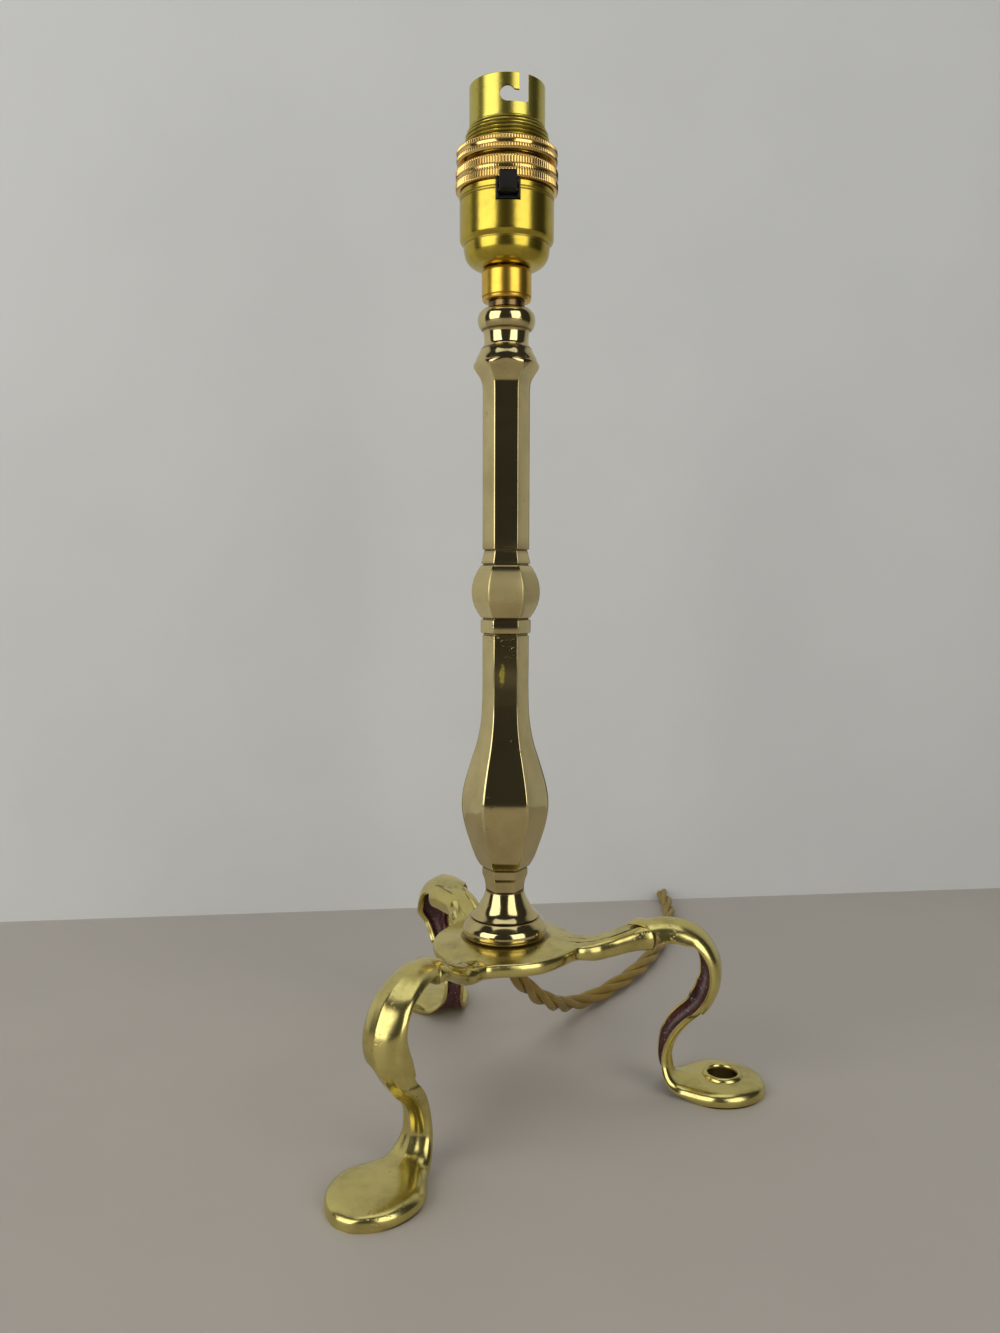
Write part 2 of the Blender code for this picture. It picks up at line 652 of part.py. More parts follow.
def build_plate(shop):
    """The casting that carries the column, with three arms."""
    outline = plate_outline()
    count = len(outline)
    hole = SPIGOT_RADIUS + GAP
    rings = []
    for n, edge in enumerate(outline):
        along = outline[(n + 1) % count] - outline[n - 1]
        inward = Vector((-along.y, along.x)).normalized()
        inset = edge + inward * PLATE_RIM
        ray = edge.normalized()
        seat = ray * PLATE_SEAT_RADIUS
        upper = [ray * hole, seat] + [seat.lerp(inset, share) for share in (0.35, 0.7, 1.0)]
        lower = [seat.lerp(inset, share) for share in (1.0, 0.6)] + [seat, ray * hole]
        ring = [(p.x, p.y, plate_top(p.length)) for p in upper]
        middle = plate_top(edge.length) - plate_thickness(edge.length) / 2
        ring.append((edge.x, edge.y, middle + plate_thickness(edge.length) / 5))
        ring.append((edge.x, edge.y, middle - plate_thickness(edge.length) / 5))
        ring += [(p.x, p.y, plate_top(p.length) - plate_thickness(p.length)) for p in lower]
        rings.append(ring)
    shop.hang(loft("base_plate", rings, closed=True), "cast_brass")


def leg_stations():
    """The leg's crest in its own plane: radius, height, half width, depth, hollow share and pad share."""
    start = ARM_END_RADIUS + GAP
    out = LEG_KNEE_RADIUS - start
    back = LEG_KNEE_RADIUS - LEG_ANKLE_RADIUS
    drop = LEG_TOP_Z - PAD_THICKNESS
    # Upper leg: shares of the way out to the knee, of the drop, of the width, of the depth, and the hollow
    upper_shares = (
        (0.00, 0.000, 0.88, 1.24, 0.00), (0.12, -0.010, 0.87, 1.14, 0.25), (0.26, -0.010, 0.87, 1.06, 0.55),
        (0.41, 0.000, 0.89, 1.02, 0.75), (0.56, 0.019, 0.92, 1.00, 0.80), (0.70, 0.053, 0.95, 0.97, 0.80),
        (0.82, 0.104, 0.97, 0.94, 0.80), (0.915, 0.172, 0.99, 0.91, 0.80), (0.975, 0.245, 1.00, 0.88, 0.80),
        (1.00, 0.326, 1.00, 0.86, 0.80),
    )
    # Lower leg: shares of the way back to the ankle, and the rest as above
    lower_shares = (
        (0.02, 0.413, 0.96, 0.85, 0.80), (0.12, 0.499, 0.86, 0.80, 0.78), (0.275, 0.570, 0.73, 0.70, 0.72),
        (0.435, 0.620, 0.68, 0.65, 0.70), (0.635, 0.669, 0.66, 0.65, 0.70), (0.81, 0.725, 0.66, 0.65, 0.70),
        (0.945, 0.791, 0.67, 0.66, 0.65), (1.00, 0.857, 0.71, 0.68, 0.55), (0.985, 0.915, 0.80, 0.72, 0.40),
    )
    stations = []
    for along, down, wide, deep, hollow in upper_shares:
        place = (start + out * along, LEG_TOP_Z - drop * down)
        stations.append((*place, LEG_HALF_WIDTH * wide, LEG_DEPTH * deep, hollow, 0.0))
    for along, down, wide, deep, hollow in lower_shares:
        place = (LEG_KNEE_RADIUS - back * along, LEG_TOP_Z - drop * down)
        stations.append((*place, LEG_HALF_WIDTH * wide, LEG_DEPTH * deep, hollow, 0.0))
    # Pad: shares of its half length, width, thickness, hollow, rounding, and of the heel's rise
    pad_shares = (
        (-0.87, 0.52, 1.22, 0.25, 0.2, 1.0), (-0.68, 0.68, 1.05, 0.0, 0.5, 0.35),
        (-0.44, 0.86, 1.00, 0.0, 0.8, 0.0), (-0.20, 0.97, 1.00, 0.0, 1.0, 0.0),
        (0.05, 1.00, 1.00, 0.0, 1.0, 0.0), (0.32, 0.95, 0.99, 0.0, 1.0, 0.0),
        (0.58, 0.82, 0.94, 0.0, 1.0, 0.0), (0.80, 0.61, 0.85, 0.0, 1.0, 0.0),
        (0.94, 0.36, 0.70, 0.0, 1.0, 0.0), (1.00, 0.16, 0.50, 0.0, 1.0, 0.0),
    )
    for along, wide, high, hollow, pad, lift in pad_shares:
        place = (PAD_CENTRE_RADIUS + PAD_HALF_LENGTH * along, PAD_THICKNESS * high)
        deep = PAD_THICKNESS * high - HEEL_RISE * lift
        stations.append((*place, PAD_HALF_WIDTH * wide, deep, hollow, pad))
    return stations


def leg_section(half_width, depth, hollow, pad):
    """A section as (across, down) points: a crown on top, then the hollow back between two flanges."""
    channel_shares = ((-1.00, 1.00), (-0.98, 0.62), (-0.78, 0.24), (-0.40, 0.05), (0.0, 0.0))
    pad_shares = ((-0.95, 1.00), (-1.00, 0.60), (-0.93, 0.24), (-0.62, 0.03), (0.0, 0.0))
    left = [
        ((a * (1 - pad) + c * pad) * half_width, (b * (1 - pad) + d * pad) * depth)
        for (a, b), (c, d) in zip(channel_shares, pad_shares)
    ]
    outer = left + [(-across, down) for across, down in reversed(left[:-1])]
    inner_half = max(half_width - LEG_WALL, half_width / 2)
    deep = max(depth - LEG_WALL, 0) * hollow
    back = [(inner_half, depth), (inner_half * 0.7, depth - deep * 0.8), (0.0, depth - deep)]
    back += [(-across, down) for across, down in reversed(back[:-1])]
    return outer + back


def build_leg(shop, name, angle, spread_out, holed):
    """One leg casting at its angle round the axis, its foot moved out by its own spread."""
    stations = [
        (radius + spread_out * (1 - height / LEG_TOP_Z) ** 3, height, *rest)
        for radius, height, *rest in leg_stations()
    ]
    turn = Matrix.Rotation(angle, 4, "Z")
    rings = []
    for n, (radius, height, half_width, depth, hollow, pad) in enumerate(stations):
        before = stations[max(n - 1, 0)]
        after = stations[min(n + 1, len(stations) - 1)]
        along = Vector((after[0] - before[0], after[1] - before[1])).normalized()
        down = Vector((along.y, -along.x))
        if n == 0:
            down = Vector((0.0, -1.0))
        down = down.lerp(Vector((0.0, -1.0)), pad).normalized()
        ring = []
        for across, deep in leg_section(half_width, depth, hollow, pad):
            place = Vector((radius, 0.0, height)) + Vector((down.x, 0.0, down.y)) * deep
            ring.append(turn @ Vector((place.x, across, max(place.z, 0.0))))
        rings.append(ring)
    leg = loft(name, rings)
    if holed:
        centre = turn @ Vector((PAD_CENTRE_RADIUS + FOOT_HOLE_OFFSET + spread_out, 0.0, PAD_THICKNESS / 2))
        cut(shop, leg, rod("foot_hole", FOOT_HOLE_RADIUS, PAD_THICKNESS + OVERRUN, centre))
        rim = turned(
            "foot_hole_rim",
            (
                (0.0, PAD_THICKNESS + OVERRUN), (FOOT_HOLE_RIM_RADIUS + OVERRUN, PAD_THICKNESS + OVERRUN),
                (FOOT_HOLE_RIM_RADIUS, PAD_THICKNESS), (FOOT_HOLE_RADIUS, PAD_THICKNESS / 2),
                (0.0, PAD_THICKNESS / 2),
            ),
            SMALL_STEPS,
        )
        rim.location = (centre.x, centre.y, 0.0)
        cut(shop, leg, rim)
    shop.hang(leg, "cast_brass")


def build_bush(shop):
    """The bush that keeps the flex off the column's edge under the plate."""
    inner = COLUMN_BORE_RADIUS
    sleeve = inner + BUSH_WALL - GAP
    lip_top = SPIGOT_END_Z - GAP
    lip_bottom = lip_top - BUSH_LIP_HEIGHT
    sleeve_top = SPIGOT_END_Z + BUSH_DEPTH
    bush = (
        (sleeve, sleeve_top), (sleeve, lip_top), (BUSH_LIP_RADIUS, lip_top),
        (BUSH_LIP_RADIUS - BUSH_LIP_HEIGHT / 3, lip_bottom), (inner, lip_bottom), (inner, sleeve_top),
    )
    shop.hang(turned("cord_bush", bush, SMALL_STEPS), "black_plastic")


def build_entry(shop):
    """The coupler on the column, the hollow nipple and the nut inside the cap."""
    bore = NIPPLE_RADIUS + GAP
    top = COUPLER_BOTTOM_Z + COUPLER_HEIGHT
    chamfer_top = COUPLER_BOTTOM_Z + COUPLER_CHAMFER
    groove = COUPLER_GROOVE
    coupler = (
        (COUPLER_RADIUS - groove, top), (COUPLER_RADIUS, top - groove),
        (COUPLER_RADIUS, chamfer_top + 2.5 * groove), (COUPLER_RADIUS - groove, chamfer_top + 2 * groove),
        (COUPLER_RADIUS - groove, chamfer_top + groove), (COUPLER_RADIUS, chamfer_top + groove / 2),
        (COUPLER_RADIUS, chamfer_top), (TOP_NECK_RADIUS, COUPLER_BOTTOM_Z), (bore, COUPLER_BOTTOM_Z),
        (bore, top),
    )
    shop.hang(turned("coupler", coupler, BIG_STEPS), "holder_brass")
    nipple_top = NIPPLE_BOTTOM_Z + NIPPLE_LENGTH
    nipple = (
        (NIPPLE_RADIUS, nipple_top), (NIPPLE_RADIUS, NIPPLE_BOTTOM_Z),
        (COLUMN_BORE_RADIUS, NIPPLE_BOTTOM_Z), (COLUMN_BORE_RADIUS, nipple_top),
    )
    shop.hang(turned("entry_nipple", nipple, SMALL_STEPS), "plated_steel")
    tag_bottom = CAP_BOTTOM_Z + CAP_WALL + GAP
    tag_top = tag_bottom + EARTH_RING_THICKNESS
    ring = (
        (EARTH_RING_RADIUS, tag_top), (EARTH_RING_RADIUS, tag_bottom), (bore, tag_bottom), (bore, tag_top),
    )
    tag = turned("earth_tag", ring, SMALL_STEPS)
    tab_y = EARTH_TAB_SETBACK + EARTH_TAB_THICKNESS / 2
    tab_z = tag_bottom + EARTH_TAB_HEIGHT / 2
    tab_size = (EARTH_TAB_WIDTH, EARTH_TAB_THICKNESS, EARTH_TAB_HEIGHT)
    join(shop, tag, box("earth_tab", tab_size, (0, tab_y, tab_z)))
    hole_z = tag_bottom + EARTH_TAB_HEIGHT - EARTH_TAB_WIDTH / 2
    hole_length = EARTH_TAB_THICKNESS + OVERRUN
    cut(shop, tag, rod("earth_tab_hole", EARTH_SCREW_RADIUS + GAP, hole_length, (0, tab_y, hole_z), "Y"))
    shop.hang(tag, "holder_brass")
    shank_y = tab_y + EARTH_TAB_THICKNESS / 2 + GAP
    screw = rod("earth_screw", EARTH_SCREW_HEAD_RADIUS, EARTH_SCREW_LENGTH / 2,
                (0, shank_y + EARTH_SCREW_LENGTH / 4, hole_z), "Y")
    shank_length = EARTH_TAB_THICKNESS + EARTH_SCREW_LENGTH / 2
    join(shop, screw, rod("earth_screw_shank", EARTH_SCREW_RADIUS, shank_length,
                          (0, shank_y - shank_length / 2 + EARTH_SCREW_LENGTH / 4, hole_z), "Y"))
    shop.hang(screw, "plated_steel")
    nut_bottom = tag_top + GAP
    nut, hole = hex_tube("entry_lock_nut", ENTRY_NUT_RADIUS, bore, nut_bottom, nut_bottom + ENTRY_NUT_HEIGHT)
    shop.hang(cut(shop, nut, hole), "plated_steel")


def build_cap(shop):
    """The holder's lower shell, with a slot for the switch."""
    wall = CAP_WALL
    step_z = CAP_BOTTOM_Z + CAP_DOME_HEIGHT
    full_z = step_z + CAP_STEP_HEIGHT
    dome = CAP_STEP_RADIUS - CAP_FLAT_RADIUS
    dome_shares = ((0.985, 0.78), (0.90, 0.48), (0.70, 0.24), (0.38, 0.07))
    outer = [
        (CAP_THREAD_RADIUS, CAP_TOP_Z), (CAP_THREAD_RADIUS, CAP_SHOULDER_Z), (CAP_RADIUS, CAP_SHOULDER_Z),
        (CAP_RADIUS, full_z), ((CAP_RADIUS + CAP_STEP_RADIUS) / 2, step_z + CAP_STEP_HEIGHT / 3),
        (CAP_STEP_RADIUS, step_z),
    ]
    outer += [(CAP_FLAT_RADIUS + dome * r, CAP_BOTTOM_Z + CAP_DOME_HEIGHT * h) for r, h in dome_shares]
    outer.append((CAP_FLAT_RADIUS, CAP_BOTTOM_Z))
    bore = NIPPLE_RADIUS + GAP
    inner = [(bore, CAP_BOTTOM_Z), (bore, CAP_BOTTOM_Z + wall), (CAP_FLAT_RADIUS, CAP_BOTTOM_Z + wall)]
    inner += [
        (CAP_FLAT_RADIUS + (dome - wall) * r, CAP_BOTTOM_Z + wall + (CAP_DOME_HEIGHT - wall) * h)
        for r, h in reversed(dome_shares)
    ]
    inner += [
        (CAP_STEP_RADIUS - wall, step_z), (CAP_STEP_RADIUS - wall, full_z),
        (CAP_THREAD_RADIUS - wall, full_z + wall), (CAP_THREAD_RADIUS - wall, CAP_TOP_Z),
    ]
    cap = turned("holder_cap", outer + inner, BIG_STEPS)
    slot_width = SWITCH_WIDTH + 2 * GAP
    slot_bottom = SWITCH_BOTTOM_Z - GAP
    slot_height = CAP_TOP_Z + OVERRUN - slot_bottom
    slot_size = (slot_width, CAP_RADIUS / 2, slot_height)
    cut(shop, cap, box("cap_slot", slot_size, (SWITCH_OFFSET, -CAP_RADIUS, slot_bottom + slot_height / 2)))
    shop.hang(cap, "holder_brass")


def knurl_ring(name, radius, bore, bottom, height, groove_height, lip_height, lip_bore):
    """A ring with two bands and a plain groove between them, and a lip over its bore."""
    top = bottom + height
    middle = bottom + (height - RING_BEVEL) / 2
    deep = radius - RING_GROOVE
    half = groove_height / 2
    profile = [
        (lip_bore, top), (radius - RING_BEVEL, top), (radius, top - RING_BEVEL),
        (radius, middle + half), (deep, middle + half), (deep, middle - half), (radius, middle - half),
        (radius, bottom + RING_BEVEL / 3), (radius - RING_BEVEL / 3, bottom), (bore, bottom),
    ]
    if lip_height:
        profile += [(bore, top - lip_height), (lip_bore, top - lip_height)]
    return turned(name, profile, BIG_STEPS)


def build_rings(shop):
    """The ring that holds the barrel down, and the ring that holds a shade."""
    barrel_gap = BARREL_THREAD_RADIUS + GAP
    cap_gap = CAP_THREAD_RADIUS + GAP
    lip = RING_TOP_Z - (BARREL_BOTTOM_Z + BARREL_FLANGE_HEIGHT + GAP)
    lower = knurl_ring("retaining_ring", RING_RADIUS, cap_gap, RING_BOTTOM_Z, RING_HEIGHT,
                       RING_GROOVE_HEIGHT, lip, barrel_gap)
    shop.hang(lower, "ring_brass")
    upper = knurl_ring("shade_ring", SHADE_RING_RADIUS, barrel_gap, SHADE_RING_Z, SHADE_RING_HEIGHT,
                       SHADE_RING_GROOVE_HEIGHT, 0, barrel_gap)
    shop.hang(upper, "ring_brass")


def build_barrel(shop):
    """The upper shell with its bayonet slots, one at the front and one at the back."""
    plain_bottom = BARREL_TOP_Z - BARREL_PLAIN_HEIGHT
    flange_top = BARREL_BOTTOM_Z + BARREL_FLANGE_HEIGHT
    inside = BARREL_RADIUS - BARREL_WALL
    profile = (
        (BARREL_RADIUS, BARREL_TOP_Z), (BARREL_RADIUS, plain_bottom),
        (BARREL_THREAD_RADIUS, plain_bottom - (BARREL_THREAD_RADIUS - BARREL_RADIUS) / 2),
        (BARREL_THREAD_RADIUS, flange_top), (BARREL_FLANGE_RADIUS, flange_top),
        (BARREL_FLANGE_RADIUS, BARREL_BOTTOM_Z), (inside, BARREL_BOTTOM_Z), (inside, BARREL_TOP_Z),
    )
    barrel = turned("holder_barrel", profile, BIG_STEPS)
    slot_bottom = BARREL_TOP_Z - SLOT_DEPTH
    slot_height = SLOT_DEPTH + OVERRUN
    hook_z = slot_bottom + HOOK_RADIUS + HOOK_OFFSET
    channel = SLOT_OFFSET - HOOK_OFFSET
    for side, sign in (("front", -1), ("back", 1)):
        y = sign * BARREL_RADIUS
        slot = box(f"slot_{side}", (SLOT_WIDTH, BARREL_RADIUS, slot_height),
                   (-sign * SLOT_OFFSET, y, slot_bottom + slot_height / 2))
        cut(shop, barrel, slot)
        hook = rod(f"hook_{side}", HOOK_RADIUS, BARREL_RADIUS, (-sign * HOOK_OFFSET, y, hook_z), "Y")
        cut(shop, barrel, hook)
        way = box(f"hook_way_{side}", (channel, BARREL_RADIUS, HOOK_CHANNEL_HEIGHT),
                  (-sign * (HOOK_OFFSET + channel / 2), y,
                   slot_bottom + HOOK_OFFSET + HOOK_CHANNEL_HEIGHT / 2))
        cut(shop, barrel, way)
    shop.hang(barrel, "holder_brass")


def build_insulator(shop):
    """The moulded inside of the holder, with its plungers, springs and terminals."""
    skirt_bottom = CAP_BOTTOM_Z + CAP_DOME_HEIGHT + CAP_STEP_HEIGHT + CAP_WALL + GAP
    skirt = INSULATOR_RADIUS - INSULATOR_SKIRT_WALL
    body_top = CAP_TOP_Z
    profile = (
        (0.0, INSULATOR_TOP_Z), (INSULATOR_TOP_RADIUS, INSULATOR_TOP_Z), (INSULATOR_TOP_RADIUS, body_top),
        (INSULATOR_RADIUS, body_top), (INSULATOR_RADIUS, skirt_bottom), (skirt, skirt_bottom),
        (skirt, CHAMBER_TOP_Z), (0.0, CHAMBER_TOP_Z),
    )
    block = turned("insulator", profile, BIG_STEPS)
    bore = PLUNGER_RADIUS + PLUNGER_BORE_GAP
    spring_bottom = PLUNGER_TOP_Z - PLUNGER_LENGTH - GAP - SPRING_LENGTH
    bore_bottom = spring_bottom - GAP
    bore_height = INSULATOR_TOP_Z + OVERRUN - bore_bottom
    half = PLUNGER_SPACING / 2
    for side, x in (("left", -half), ("right", half)):
        bore_place = (x, 0, bore_bottom + bore_height / 2)
        cut(shop, block, rod(f"plunger_bore_{side}", bore, bore_height, bore_place))
        top = PLUNGER_TOP_Z
        radius = PLUNGER_RADIUS
        plunger = turned(
            f"contact_plunger_{side}",
            (
                (0.0, top), (radius / 2, top - radius / 8), (radius * 0.9, top - radius / 2),
                (radius, top - radius), (radius, top - PLUNGER_LENGTH), (0.0, top - PLUNGER_LENGTH),
            ),
            SMALL_STEPS,
        )
        plunger.location = (x, 0.0, 0.0)
        shop.hang(plunger, "holder_brass")
        turns = SPRING_CURLS * SPRING_CURL_POINTS
        coil_radius = radius - SPRING_WIRE_RADIUS
        rise = SPRING_LENGTH - 2 * SPRING_WIRE_RADIUS
        helix = []
        for n in range(turns + 1):
            angle = math.tau * n / SPRING_CURL_POINTS
            height = spring_bottom + SPRING_WIRE_RADIUS + rise * n / turns
            helix.append(Vector((x + coil_radius * math.cos(angle), coil_radius * math.sin(angle), height)))
        shop.hang(tube(f"plunger_spring_{side}", helix, SPRING_WIRE_RADIUS, 0), "plated_steel")
    notch_width = SWITCH_WIDTH + 2 * GAP
    notch_back = SWITCH_FRONT - SWITCH_DEPTH - 2 * CONTACT_STRIP_SETBACK - CONTACT_STRIP_THICKNESS
    notch_depth = INSULATOR_RADIUS + OVERRUN - notch_back
    notch_bottom = skirt_bottom - OVERRUN
    notch_top = SWITCH_BOTTOM_Z + SWITCH_HEIGHT + GAP
    notch_size = (notch_width, notch_depth, notch_top - notch_bottom)
    notch_centre = (SWITCH_OFFSET, -notch_back - notch_depth / 2, (notch_top + notch_bottom) / 2)
    cut(shop, block, box("switch_notch", notch_size, notch_centre))
    shop.hang(block, "moulded_insulator")


def build_terminals(shop):
    """Two brass terminal blocks under the insulator, each with its screw."""
    top = CHAMBER_TOP_Z - GAP
    middle = top - TERMINAL_HEIGHT / 2
    size = (TERMINAL_WIDTH, TERMINAL_WIDTH, TERMINAL_HEIGHT)
    half = TERMINAL_SPACING / 2
    head_z = top - TERMINAL_HEIGHT - GAP - TERMINAL_SCREW_LENGTH / 2
    for side, x in (("left", -half), ("right", half)):
        place = (x, TERMINAL_SETBACK, middle)
        block = box(f"terminal_block_{side}", size, place)
        cut(shop, block, rod(f"terminal_bore_{side}", CORE_RADIUS + GAP, TERMINAL_WIDTH + OVERRUN, place, "X"))
        shop.hang(block, "holder_brass")
        screw = rod(f"terminal_screw_{side}", TERMINAL_SCREW_RADIUS, TERMINAL_SCREW_LENGTH,
                    (x, TERMINAL_SETBACK, head_z))
        shop.hang(screw, "plated_steel")


def build_switch(shop):
    """The switch's frame, its rocker on a pin, and the strip behind it."""
    aside = SWITCH_OFFSET
    middle_z = SWITCH_BOTTOM_Z + SWITCH_HEIGHT / 2
    middle_y = -SWITCH_FRONT + SWITCH_DEPTH / 2
    frame = box("switch_frame", (SWITCH_WIDTH, SWITCH_DEPTH, SWITCH_HEIGHT), (aside, middle_y, middle_z))
    inner_width = SWITCH_WIDTH - 2 * SWITCH_WALL
    opening = (inner_width, SWITCH_DEPTH + OVERRUN, SWITCH_HEIGHT)
    cut(shop, frame, box("frame_opening", opening, (aside, middle_y, middle_z + SWITCH_WALL)))
    pivot = (aside, ROCKER_PIVOT_Y, ROCKER_PIVOT_Z)
    hole = PIVOT_PIN_RADIUS + GAP
    cut(shop, frame, rod("frame_pin_hole", hole, SWITCH_WIDTH + OVERRUN, pivot, "X"))
    shop.hang(frame, "black_plastic")
    # Shares of the rocker's reach forwards and of its height above or below the pivot
    front_shares = ((0.62, -0.25), (1.0, 0.90))
    y0 = ROCKER_PIVOT_Y
    z0 = ROCKER_PIVOT_Z
    outline = [
        (y0 - ROCKER_LOBE / 3, z0 - ROCKER_BOTTOM),
        (y0 - ROCKER_REACH * front_shares[0][0], z0 + ROCKER_TOP * front_shares[0][1]),
        (y0 - ROCKER_REACH * front_shares[1][0], z0 + ROCKER_TOP * front_shares[1][1]),
        (y0 - ROCKER_REACH + ROCKER_LOBE / 4, z0 + ROCKER_TOP),
        (y0 - ROCKER_REACH + ROCKER_LOBE * 0.8, z0 + ROCKER_TOP),
        (y0 - ROCKER_REACH + ROCKER_LOBE, z0 + ROCKER_TOP / 2),
        (y0 - ROCKER_REACH + ROCKER_LOBE * 1.15, z0 + ROCKER_TOP * 0.36),
        (y0 + ROCKER_BACK / 2, z0 + ROCKER_TOP * 0.36),
        (y0 + ROCKER_BACK, z0),
        (y0 + ROCKER_BACK / 2, z0 - ROCKER_BOTTOM / 2),
    ]
    rocker = prism("switch_rocker", outline, ROCKER_WIDTH, aside)
    cut(shop, rocker, rod("rocker_pin_hole", hole, ROCKER_WIDTH + OVERRUN, pivot, "X"))
    shop.hang(rocker, "black_plastic")
    pin = rod("rocker_pivot_pin", PIVOT_PIN_RADIUS, SWITCH_WIDTH - SWITCH_WALL, pivot, "X", SMALL_STEPS)
    shop.hang(pin, "plated_steel")
    strip_y = -SWITCH_FRONT + SWITCH_DEPTH + CONTACT_STRIP_SETBACK + CONTACT_STRIP_THICKNESS / 2
    strip_size = (CONTACT_STRIP_WIDTH, CONTACT_STRIP_THICKNESS, CONTACT_STRIP_HEIGHT)
    shop.hang(box("switch_contact_strip", strip_size, (aside, strip_y, middle_z)), "holder_brass")


def coil_points():
    """One unbroken piled coil: in and out at a steady rate, a layer up in each half turn at a reversal."""
    count = round(COIL_TURNS * LOOP_POINTS)
    points = []
    for n in range(count + 1):
        turns = COIL_TURNS * n / count
        layer = min(int(turns / COIL_REVERSAL_TURNS), COIL_LAYERS - 1)
        within = turns - layer * COIL_REVERSAL_TURNS
        share = within / COIL_REVERSAL_TURNS
        inward = share if layer % 2 == 0 else 1 - share
        radius = COIL_OUTER_RADIUS - (COIL_OUTER_RADIUS - COIL_INNER_RADIUS) * inward
        height = COIL_BOTTOM_Z
        for reversal in range(1, COIL_LAYERS):
            climbed = (turns - reversal * COIL_REVERSAL_TURNS) / 0.5 + 0.5
            height += COIL_LAYER_PITCH * min(max(climbed, 0.0), 1.0)
        angle = math.tau * turns
        points.append(COIL_CENTRE + Vector((radius * math.cos(angle), radius * math.sin(angle), height)))
    return points


def least_gap(points, radius, skip):
    """The least distance between two stretches of a tube that aren't neighbours, less its diameter."""
    fine = []
    for a, b in zip(points, points[1:]):
        fine += [a.lerp(b, share) for share in (0.0, 1 / 3, 2 / 3)]
    least = math.inf
    for n, a in enumerate(fine):
        for b in fine[n + 3 * skip:]:
            least = min(least, (a - b).length)
    return least - 2 * radius


def build_flex(shop):
    """The flex inside the column, its cores, and the free stretches with the coil."""
    bottom = CORD_EXIT_Z
    top = NIPPLE_BOTTOM_Z + NIPPLE_LENGTH
    riser = [Vector((0, 0, bottom + (top - bottom) * share)) for share in (0.0, 0.5, 1.0)]
    shop.hang(tube("flex_in_column", riser, CORD_RADIUS, 2), "gold_braid")
    half = TERMINAL_SPACING / 2 - TERMINAL_WIDTH / 2 - GAP
    bore_z = CHAMBER_TOP_Z - GAP - TERMINAL_HEIGHT / 2
    start = top + GAP
    offset = 2 * CORE_RADIUS
    for name, finish, side in (("live_core", "core_brown", 1), ("neutral_core", "core_blue", -1)):
        route = [
            (side * offset * 0.6, 0, start), (side * offset * 0.6, 0, start + CORE_RADIUS * 2),
            (side * offset * 0.7, TERMINAL_SETBACK / 2, (start + bore_z) / 2),
            (side * half * 0.5, TERMINAL_SETBACK, bore_z), (side * half, TERMINAL_SETBACK, bore_z),
        ]
        shop.hang(tube(name, smooth_route(route, CORE_RADIUS * 2.5), CORE_RADIUS, 1), finish)
    tab_back = EARTH_TAB_SETBACK - GAP
    tab_z = CAP_BOTTOM_Z + CAP_WALL + GAP + EARTH_TAB_HEIGHT - CORE_RADIUS
    earth = [
        (0, offset, start), (0, offset, start + CORE_RADIUS * 1.5),
        (0, (offset + tab_back) / 2, tab_z + CORE_RADIUS * 2.4),
        (0, tab_back - CORE_RADIUS, tab_z + CORE_RADIUS),
    ]
    shop.hang(tube("earth_core", smooth_route(earth, CORE_RADIUS * 2.5), CORE_RADIUS, 1), "core_green")
    loops = coil_points()
    shop.hang(tube("flex_coil", loops, CORD_RADIUS, 1), "gold_braid")
    arriving = (loops[1] - loops[0]).normalized()
    run_in = [loops[0] - arriving * (GAP + CORD_RADIUS * widths) for widths in (2.0, 0.0)]
    free = [Vector((0, 0, bottom - GAP)), *smooth_route([*FREE_ROUTE, run_in[0]], CORD_SPACING), run_in[1]]
    shop.hang(tube("flex_free", free, CORD_RADIUS, 2), "gold_braid")
    leaving = (loops[-1] - loops[-2]).normalized()
    plug_z = PLUG_COVER_HEIGHT - CORD_RADIUS
    plug_entry = Vector((PLUG_CENTRE_X, PLUG_ENTRY_Y + GAP, plug_z))
    before_plug = plug_entry + Vector((0, 2 * CORD_RADIUS, 0))
    first = loops[-1] + leaving * GAP
    second = first + leaving * 2 * CORD_RADIUS
    tail = [first, *smooth_route([second, *TAIL_ROUTE, before_plug], CORD_SPACING), plug_entry]
    shop.hang(tube("flex_tail", tail, CORD_RADIUS, 2), "gold_braid")
    print("coil's least gap to itself", round(least_gap(loops, CORD_RADIUS, LOOP_POINTS // 2), 5))
    lengths = [path_length(points) for points in (free, loops, tail)]
    print("flex lengths", [round(length, 4) for length in lengths], "together", round(sum(lengths), 4))


def build_tie(shop):
    """The band that holds the coil's turns together."""
    clear = CORD_RADIUS + GAP
    inner = COIL_INNER_RADIUS - clear
    outer = COIL_OUTER_RADIUS + clear
    low = COIL_LIFT - GAP
    high = COIL_END_Z + clear
    wall = TIE_THICKNESS
    inside = [(inner, low), (outer, low), (outer, high), (inner, high)]
    outside = [(inner - wall, low - wall), (outer + wall, low - wall), (outer + wall, high + wall),
               (inner - wall, high + wall)]
    half = TIE_WIDTH / 2
    turn = Matrix.Translation(COIL_CENTRE) @ Matrix.Rotation(TIE_ANGLE, 4, "Z")
    rings = []
    for inner_corner, outer_corner in zip(inside, outside):
        corners = [(inner_corner, -half), (outer_corner, -half), (outer_corner, half), (inner_corner, half)]
        rings.append([turn @ Vector((radius, across, z)) for (radius, z), across in corners])
    shop.hang(loft("flex_tie", rings, closed=True), "black_plastic")


